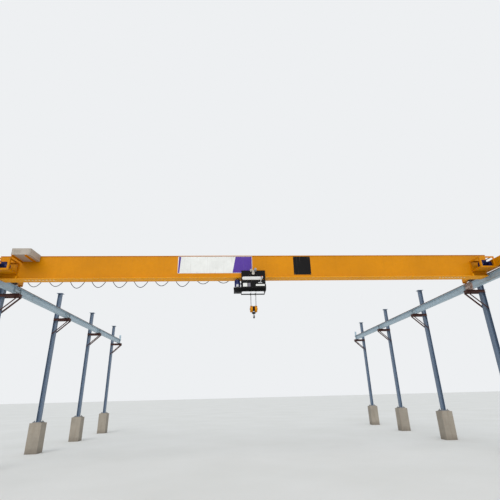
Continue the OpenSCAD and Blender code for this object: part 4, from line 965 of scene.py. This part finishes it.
def motor_and_cables(bolts, dark, cables):
    flange_t, flange_bolt_r, flange_thread = 0.02, 0.111, 0.009
    foot = vec(MOTOR_X, GIRDER_Y, MOTOR_LOW.z + flange_t)
    bolts.bolts(circle(foot, X, Y, flange_bolt_r, turns(4, math.pi / 4)), Z, flange_thread)
    for radius in (0.012, 0.024):
        dark.ring(vec(MOTOR_X, GIRDER_Y, MOTOR_HIGH.z), Z, radius, 0.0014)
    lid_inset, lid_screw = 0.01, 0.004
    xs = spread(TERMINAL_LOW.x, TERMINAL_HIGH.x, lid_inset)
    zs = spread(TERMINAL_LOW.z, TERMINAL_HIGH.z, lid_inset)
    bolts.heads(cells(xs, TERMINAL_LOW.y, zs), -Y, lid_screw)

    cable_r = 0.005
    for dx, entry_z in ((-0.018, 5.46), (0.018, 5.5)):
        outlet = vec(MOTOR_X + dx, TERMINAL_LOW.y + 0.012, TERMINAL_LOW.z)
        entry = vec(BOX_LOW.x, BOX_LOW.y + 0.04, entry_z)
        dark.gland(outlet, -Z, cable_r)
        dark.gland(entry, -X, cable_r)
        path = curve([outlet, outlet - Z * 0.12 - Y * 0.03, entry - X * 0.1 - Y * 0.01, entry])
        cables.tube(path, cable_r, 8)


def hoist_details():
    bolts, dark, cables, sockets = (Shape() for _ in range(4))
    gearbox_and_brake(bolts)
    motor_and_cables(bolts, dark, cables)
    socket = [(0.0075, 0), (0.009, 0.004), (0.013, 0.02), (0.013, 0.034)]
    socket_l = 0.034
    for at in cells(around(0, FALL_X), ANCHOR_Y, FRAME_LOW.z - socket_l):
        sockets.lathe(at, Z, socket, 16)
    bolts.build("hoist_bolts", "trolley", *BOLT_STEEL)
    dark.build("hoist_glands", "trolley", *BLACK_PLASTIC)
    cables.build("hoist_cables", "trolley", *CABLE_SKIN)
    sockets.build("rope_sockets", "trolley", *BOLT_STEEL)


# Hook block: cover screws, axle nuts, yoke bolts and the hook's latch

def block_details():
    bolts = Shape()
    screw_circle, screw_r, yoke_bolt_x, yoke_bolt_z = 0.08, 0.006, 0.044, YOKE_LOW.z + 0.026
    for face in (-1, 1):
        axle = vec(face * COVER_HIGH.x, GIRDER_Y, BLOCK_Z)
        bolts.heads(circle(axle, Y, Z, screw_circle, turns(6, 0.3)), X * face, screw_r)
        bolts.lathe(axle, X * face, [(0.03, 0), (0.03, 0.009), (0.026, 0.0115)], 6)
    for face, y in ((-1, YOKE_LOW.y), (1, YOKE_HIGH.y)):
        bolts.bolts(cells(around(0, yoke_bolt_x), y, yoke_bolt_z), Y * face, M8, stud=0.2)
    bolts.build("block_bolts", "block", *BLACK_BOLT)


def hook_latch():
    """A sprung tongue from the hook's neck to its tip, between two ears with a pin."""
    latch = Shape()
    hook_turn, mouth_r = math.radians(60), 0.03
    sheet_t, ear_y, pin_head = 0.002, 0.013, 0.004
    forward = vec(math.cos(hook_turn), math.sin(hook_turn), 0)
    across = Z.cross(forward)
    bowl = vec(0, GIRDER_Y, MOUNTS["load_hook"][2] + mouth_r)
    pivot = bowl + forward * 0.012 + Z * 0.041
    tip = bowl - forward * 0.0318 + Z * 0.009
    run = (tip - pivot).normalized()
    up = across.cross(run)
    half = [(0.005, 0.014), (0.012, 0.014), (0.024, 0.008), ((tip - pivot).length, 0.007)]
    tongue = half + [(along, -wide) for along, wide in reversed(half)]
    latch.prism([run * along + across * wide for along, wide in tongue], pivot, up * sheet_t)
    ear = [run * along + up * high for along, high in (
        (-0.007, -0.005), (-0.007, 0.005), (0.006, 0.007), (0.02, 0.002), (0.02, 0), (0.004, -0.006))]
    for side in (-1, 1):
        latch.prism(ear, pivot + across * side * ear_y, across * side * sheet_t)
        latch.heads([pivot + across * side * (ear_y + sheet_t)], across * side, pin_head)
    latch.build("hook_latch", "hook", *BLACK_BOLT)


# Hoist ropes: four falls between the trolley and the block, and the windings on the drum

def ropes():
    front_top, front_low = (0, LEADS_LOW.y + ROPE_R, DRUM_Z), (0, GIRDER_Y - SHEAVE_R, ROPES_LOW.z)
    back_top, back_low = (0, ANCHOR_Y, FRAME_LOW.z), (0, GIRDER_Y + SHEAVE_R, ROPES_LOW.z)
    for side, word in ((-1, "left"), (1, "right")):
        x = X * side * FALL_X
        for top, low, place in ((front_top, front_low, "front"), (back_top, back_low, "back")):
            start, end = x + Vector(top), x + Vector(low)
            fall = Shape()
            fall.tube([start, end], ROPE_R, 12)
            piece = fall.build(f"rope_{word}_{place}", None, *WIRE_ROPE)
            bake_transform(piece)
    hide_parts("hoist_ropes", "rope_leads")

    winding = Shape()
    pitch, first_edge, rounds, radius, per_round = 0.013, 0.045, 23, 0.13, 40
    for side in (-1, 1):
        points = []
        for k in range(rounds * per_round + 1):
            angle = math.pi + 2 * math.pi * k / per_round * side
            x = side * (first_edge + pitch * (0.5 + k / per_round))
            points += circle(vec(x, GIRDER_Y, DRUM_Z), Y, Z, radius, [angle])
        winding.tube(points, ROPE_R, 6)
    winding.build("drum_rope", "drum", *WIRE_ROPE)


# Festoon: carriers in the track, the loops between them, the feed and the tow cable

LOOPS = 10
LEVEL = 0.11
SAGS = (0.31, 0.3, 0.37, 0.35, 0.36, 0.36, 0.31, 0.34, 0.25, 0.23)
CABLE_R = 0.011
SOLID_CABLE_R = 0.008
CABLE_Z = CABLE_HIGH.z - SOLID_CABLE_R
TRACK_Y = TRACK_HIGH.y - 0.015
TOW_Y = CABLE_LOW.y + SOLID_CABLE_R
FIRST_X = CABLE_LOW.x + LEVEL / 2
LAST_X = CABLE_HIGH.x - 0.034
PITCH = (LAST_X + LEVEL / 2 - FIRST_X) / LOOPS


def festoon_carrier(k):
    """Carrier k: wheels in the track, a neck, and the saddle that holds the cable."""
    x = FIRST_X + k * PITCH
    under = TRACK_LOW.z
    carrier = Shape()
    for half_x, half_y, low, high in ((0.028, 0.009, under - 0.034, under - 0.002),
                                      (0.006, 0.003, under - 0.01, under + 0.022),
                                      (0.012, 0.004, CABLE_Z + 0.01, under - 0.03)):
        carrier.box((x - half_x, TRACK_Y - half_y, low), (x + half_x, TRACK_Y + half_y, high))
    saddle = [(0.013, 0), (0.0155, 0.003), (0.0155, 0.053), (0.013, 0.056)]
    carrier.lathe(vec(x - 0.028, TRACK_Y, CABLE_Z), X, saddle, 16)
    wheel = [(0.0065, 0), (0.0075, 0.001), (0.0075, 0.003), (0.0065, 0.004)]
    for at in cells(around(x, 0.02), (TRACK_Y - 0.009, TRACK_Y + 0.005), under + 0.0125):
        carrier.lathe(at, Y, wheel, 14)
    piece = carrier.build(f"festoon_carrier_{k}", None, "black_paint")
    if k == 0:
        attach(piece, "bridge")
        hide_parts("festoon_carriers")
        return
    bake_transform(piece)


def festoon_loop(k):
    """Loop k of the cable, level in the carriers and hanging between them."""
    x = FIRST_X + k * PITCH
    last = k == LOOPS - 1
    count = 28
    points = [vec(CABLE_LOW.x if k == 0 else x, TRACK_Y, CABLE_Z)]
    for j in range(count + 1):
        t = j / count
        y = TRACK_Y + (TOW_Y - TRACK_Y) * (t if last else 0)
        hang = SAGS[k] * 4 * t * (1 - t)
        points.append(vec(x + LEVEL / 2 + t * (PITCH - LEVEL), y, CABLE_Z - hang))
    if not last:
        points.append(vec(x + PITCH, TRACK_Y, CABLE_Z))
    loop = Shape()
    loop.tube(points, CABLE_R, 10)
    piece = loop.build(f"festoon_loop_{k}", None, *CABLE_SKIN)
    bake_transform(piece)
    if k == 0:
        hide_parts("festoon_cable")


def festoon():
    for k in range(LOOPS):
        festoon_carrier(k)
        festoon_loop(k)

    feed, tow, wall_gland, entry_gland = (Shape() for _ in range(4))
    wall = vec(-CARRIAGE_LOW.x, TRACK_Y, CABLE_Z + 0.09)
    start = vec(CABLE_LOW.x, TRACK_Y, CABLE_Z)
    path = curve([start, start - X * 0.2 - Z * 0.14, wall + X * 0.22 - Z * 0.14, wall])
    feed.tube(path, CABLE_R, 10)
    feed.build("festoon_feed", "bridge", *CABLE_SKIN)
    wall_gland.gland(wall, X, CABLE_R)
    wall_gland.build("festoon_gland", "bridge", *BLACK_PLASTIC)

    entry = vec(FRAME_LOW.x, GIRDER_Y + 0.19, FRAME_HIGH.z - 0.1)
    clamp = vec(LAST_X, TOW_Y, CABLE_Z)
    path = curve([clamp + X * 0.034, clamp + X * 0.14, entry - X * 0.16, entry])
    tow.tube([clamp] + path, CABLE_R, 10)
    tow.build("tow_cable", "trolley", *CABLE_SKIN)
    entry_gland.gland(entry, -X, CABLE_R)
    entry_gland.build("tow_gland", "trolley", *BLACK_PLASTIC)


runway_details()
girder_details()
carriage_details()
travel_details()
panel_details()
boards()
trolley_details()
hoist_details()
block_details()
hook_latch()
ropes()
festoon()


# Floor, light and camera

def floor():
    half = 300.0
    s = Surface("floor_pale")
    tone = s.band(s.noise(0.25, 4.0), 0.3, 0.7)
    colour = s.mix(tone, srgb(214, 214, 211), srgb(221, 221, 219))
    s.bump((s.noise(40.0, 4.0), 0.0004))
    plane = bmesh.new()
    corners = ((-1, -1), (1, -1), (1, 1), (-1, 1))
    plane.faces.new([plane.verts.new((x * half, y * half, 0)) for x, y in corners])
    mesh = bpy.data.meshes.new("floor")
    plane.to_mesh(mesh)
    plane.free()
    mesh.materials.append(s.finish(colour, 0.9))
    put("floor", mesh)


def world():
    """Even light on the crane, and a pale background for the camera, in gloss and through glass."""
    scene = bpy.context.scene
    scene.world = bpy.data.worlds.new("studio")
    scene.world.use_nodes = True
    tree = scene.world.node_tree
    tree.nodes.clear()
    path = add_node(tree, "ShaderNodeLightPath")
    seen = path.outputs["Is Camera Ray"]
    for name in ("Is Glossy Ray", "Is Transmission Ray"):
        either = add_node(tree, "ShaderNodeMath", {0: seen, 1: path.outputs[name]}, operation="MAXIMUM")
        seen = either.outputs[0]
    light = add_node(tree, "ShaderNodeBackground", {"Color": (0.93, 0.97, 1.0, 1.0), "Strength": 0.72})
    pale = add_node(tree, "ShaderNodeBackground", {"Color": srgb(238, 240, 242)})
    mix = add_node(tree, "ShaderNodeMixShader", {0: seen, 1: light.outputs[0], 2: pale.outputs[0]})
    add_node(tree, "ShaderNodeOutputWorld", {0: mix.outputs[0]})


def sun(name, strength, direction, angle):
    """A far lamp. angle is the width of its disc in degrees."""
    lamp = bpy.data.lights.new(name, "SUN")
    lamp.energy = strength
    lamp.angle = math.radians(angle)
    put(name, lamp).rotation_euler = Vector(direction).to_track_quat("-Z", "Y").to_euler()


def camera():
    at = vec(-0.8601, -17.8704, 2.0681)
    pitch, yaw, roll = (math.radians(angle) for angle in (21.6588, 3.6884, -1.4655))
    ahead = vec(math.sin(yaw) * math.cos(pitch), math.cos(yaw) * math.cos(pitch), math.sin(pitch))
    level = vec(math.cos(yaw), -math.sin(yaw), 0)
    above = level.cross(ahead)
    right = level * math.cos(roll) + above * math.sin(roll)
    up = above * math.cos(roll) - level * math.sin(roll)
    lens = bpy.data.cameras.new("camera")
    lens.sensor_width = 36.0
    lens.lens = 26.28
    lens.clip_end = 1000.0
    piece = put("camera", lens)
    piece.matrix_world = Matrix.Translation(at) @ Matrix((right, up, -ahead)).transposed().to_4x4()
    bpy.context.scene.camera = piece


floor()
world()
sun("key", 1.1, (0.3, 0.8, -0.75), 40)
sun("fill", 0.75, (-0.25, 0.95, -0.16), 60)
camera()
bpy.context.scene.view_settings.view_transform = "Standard"
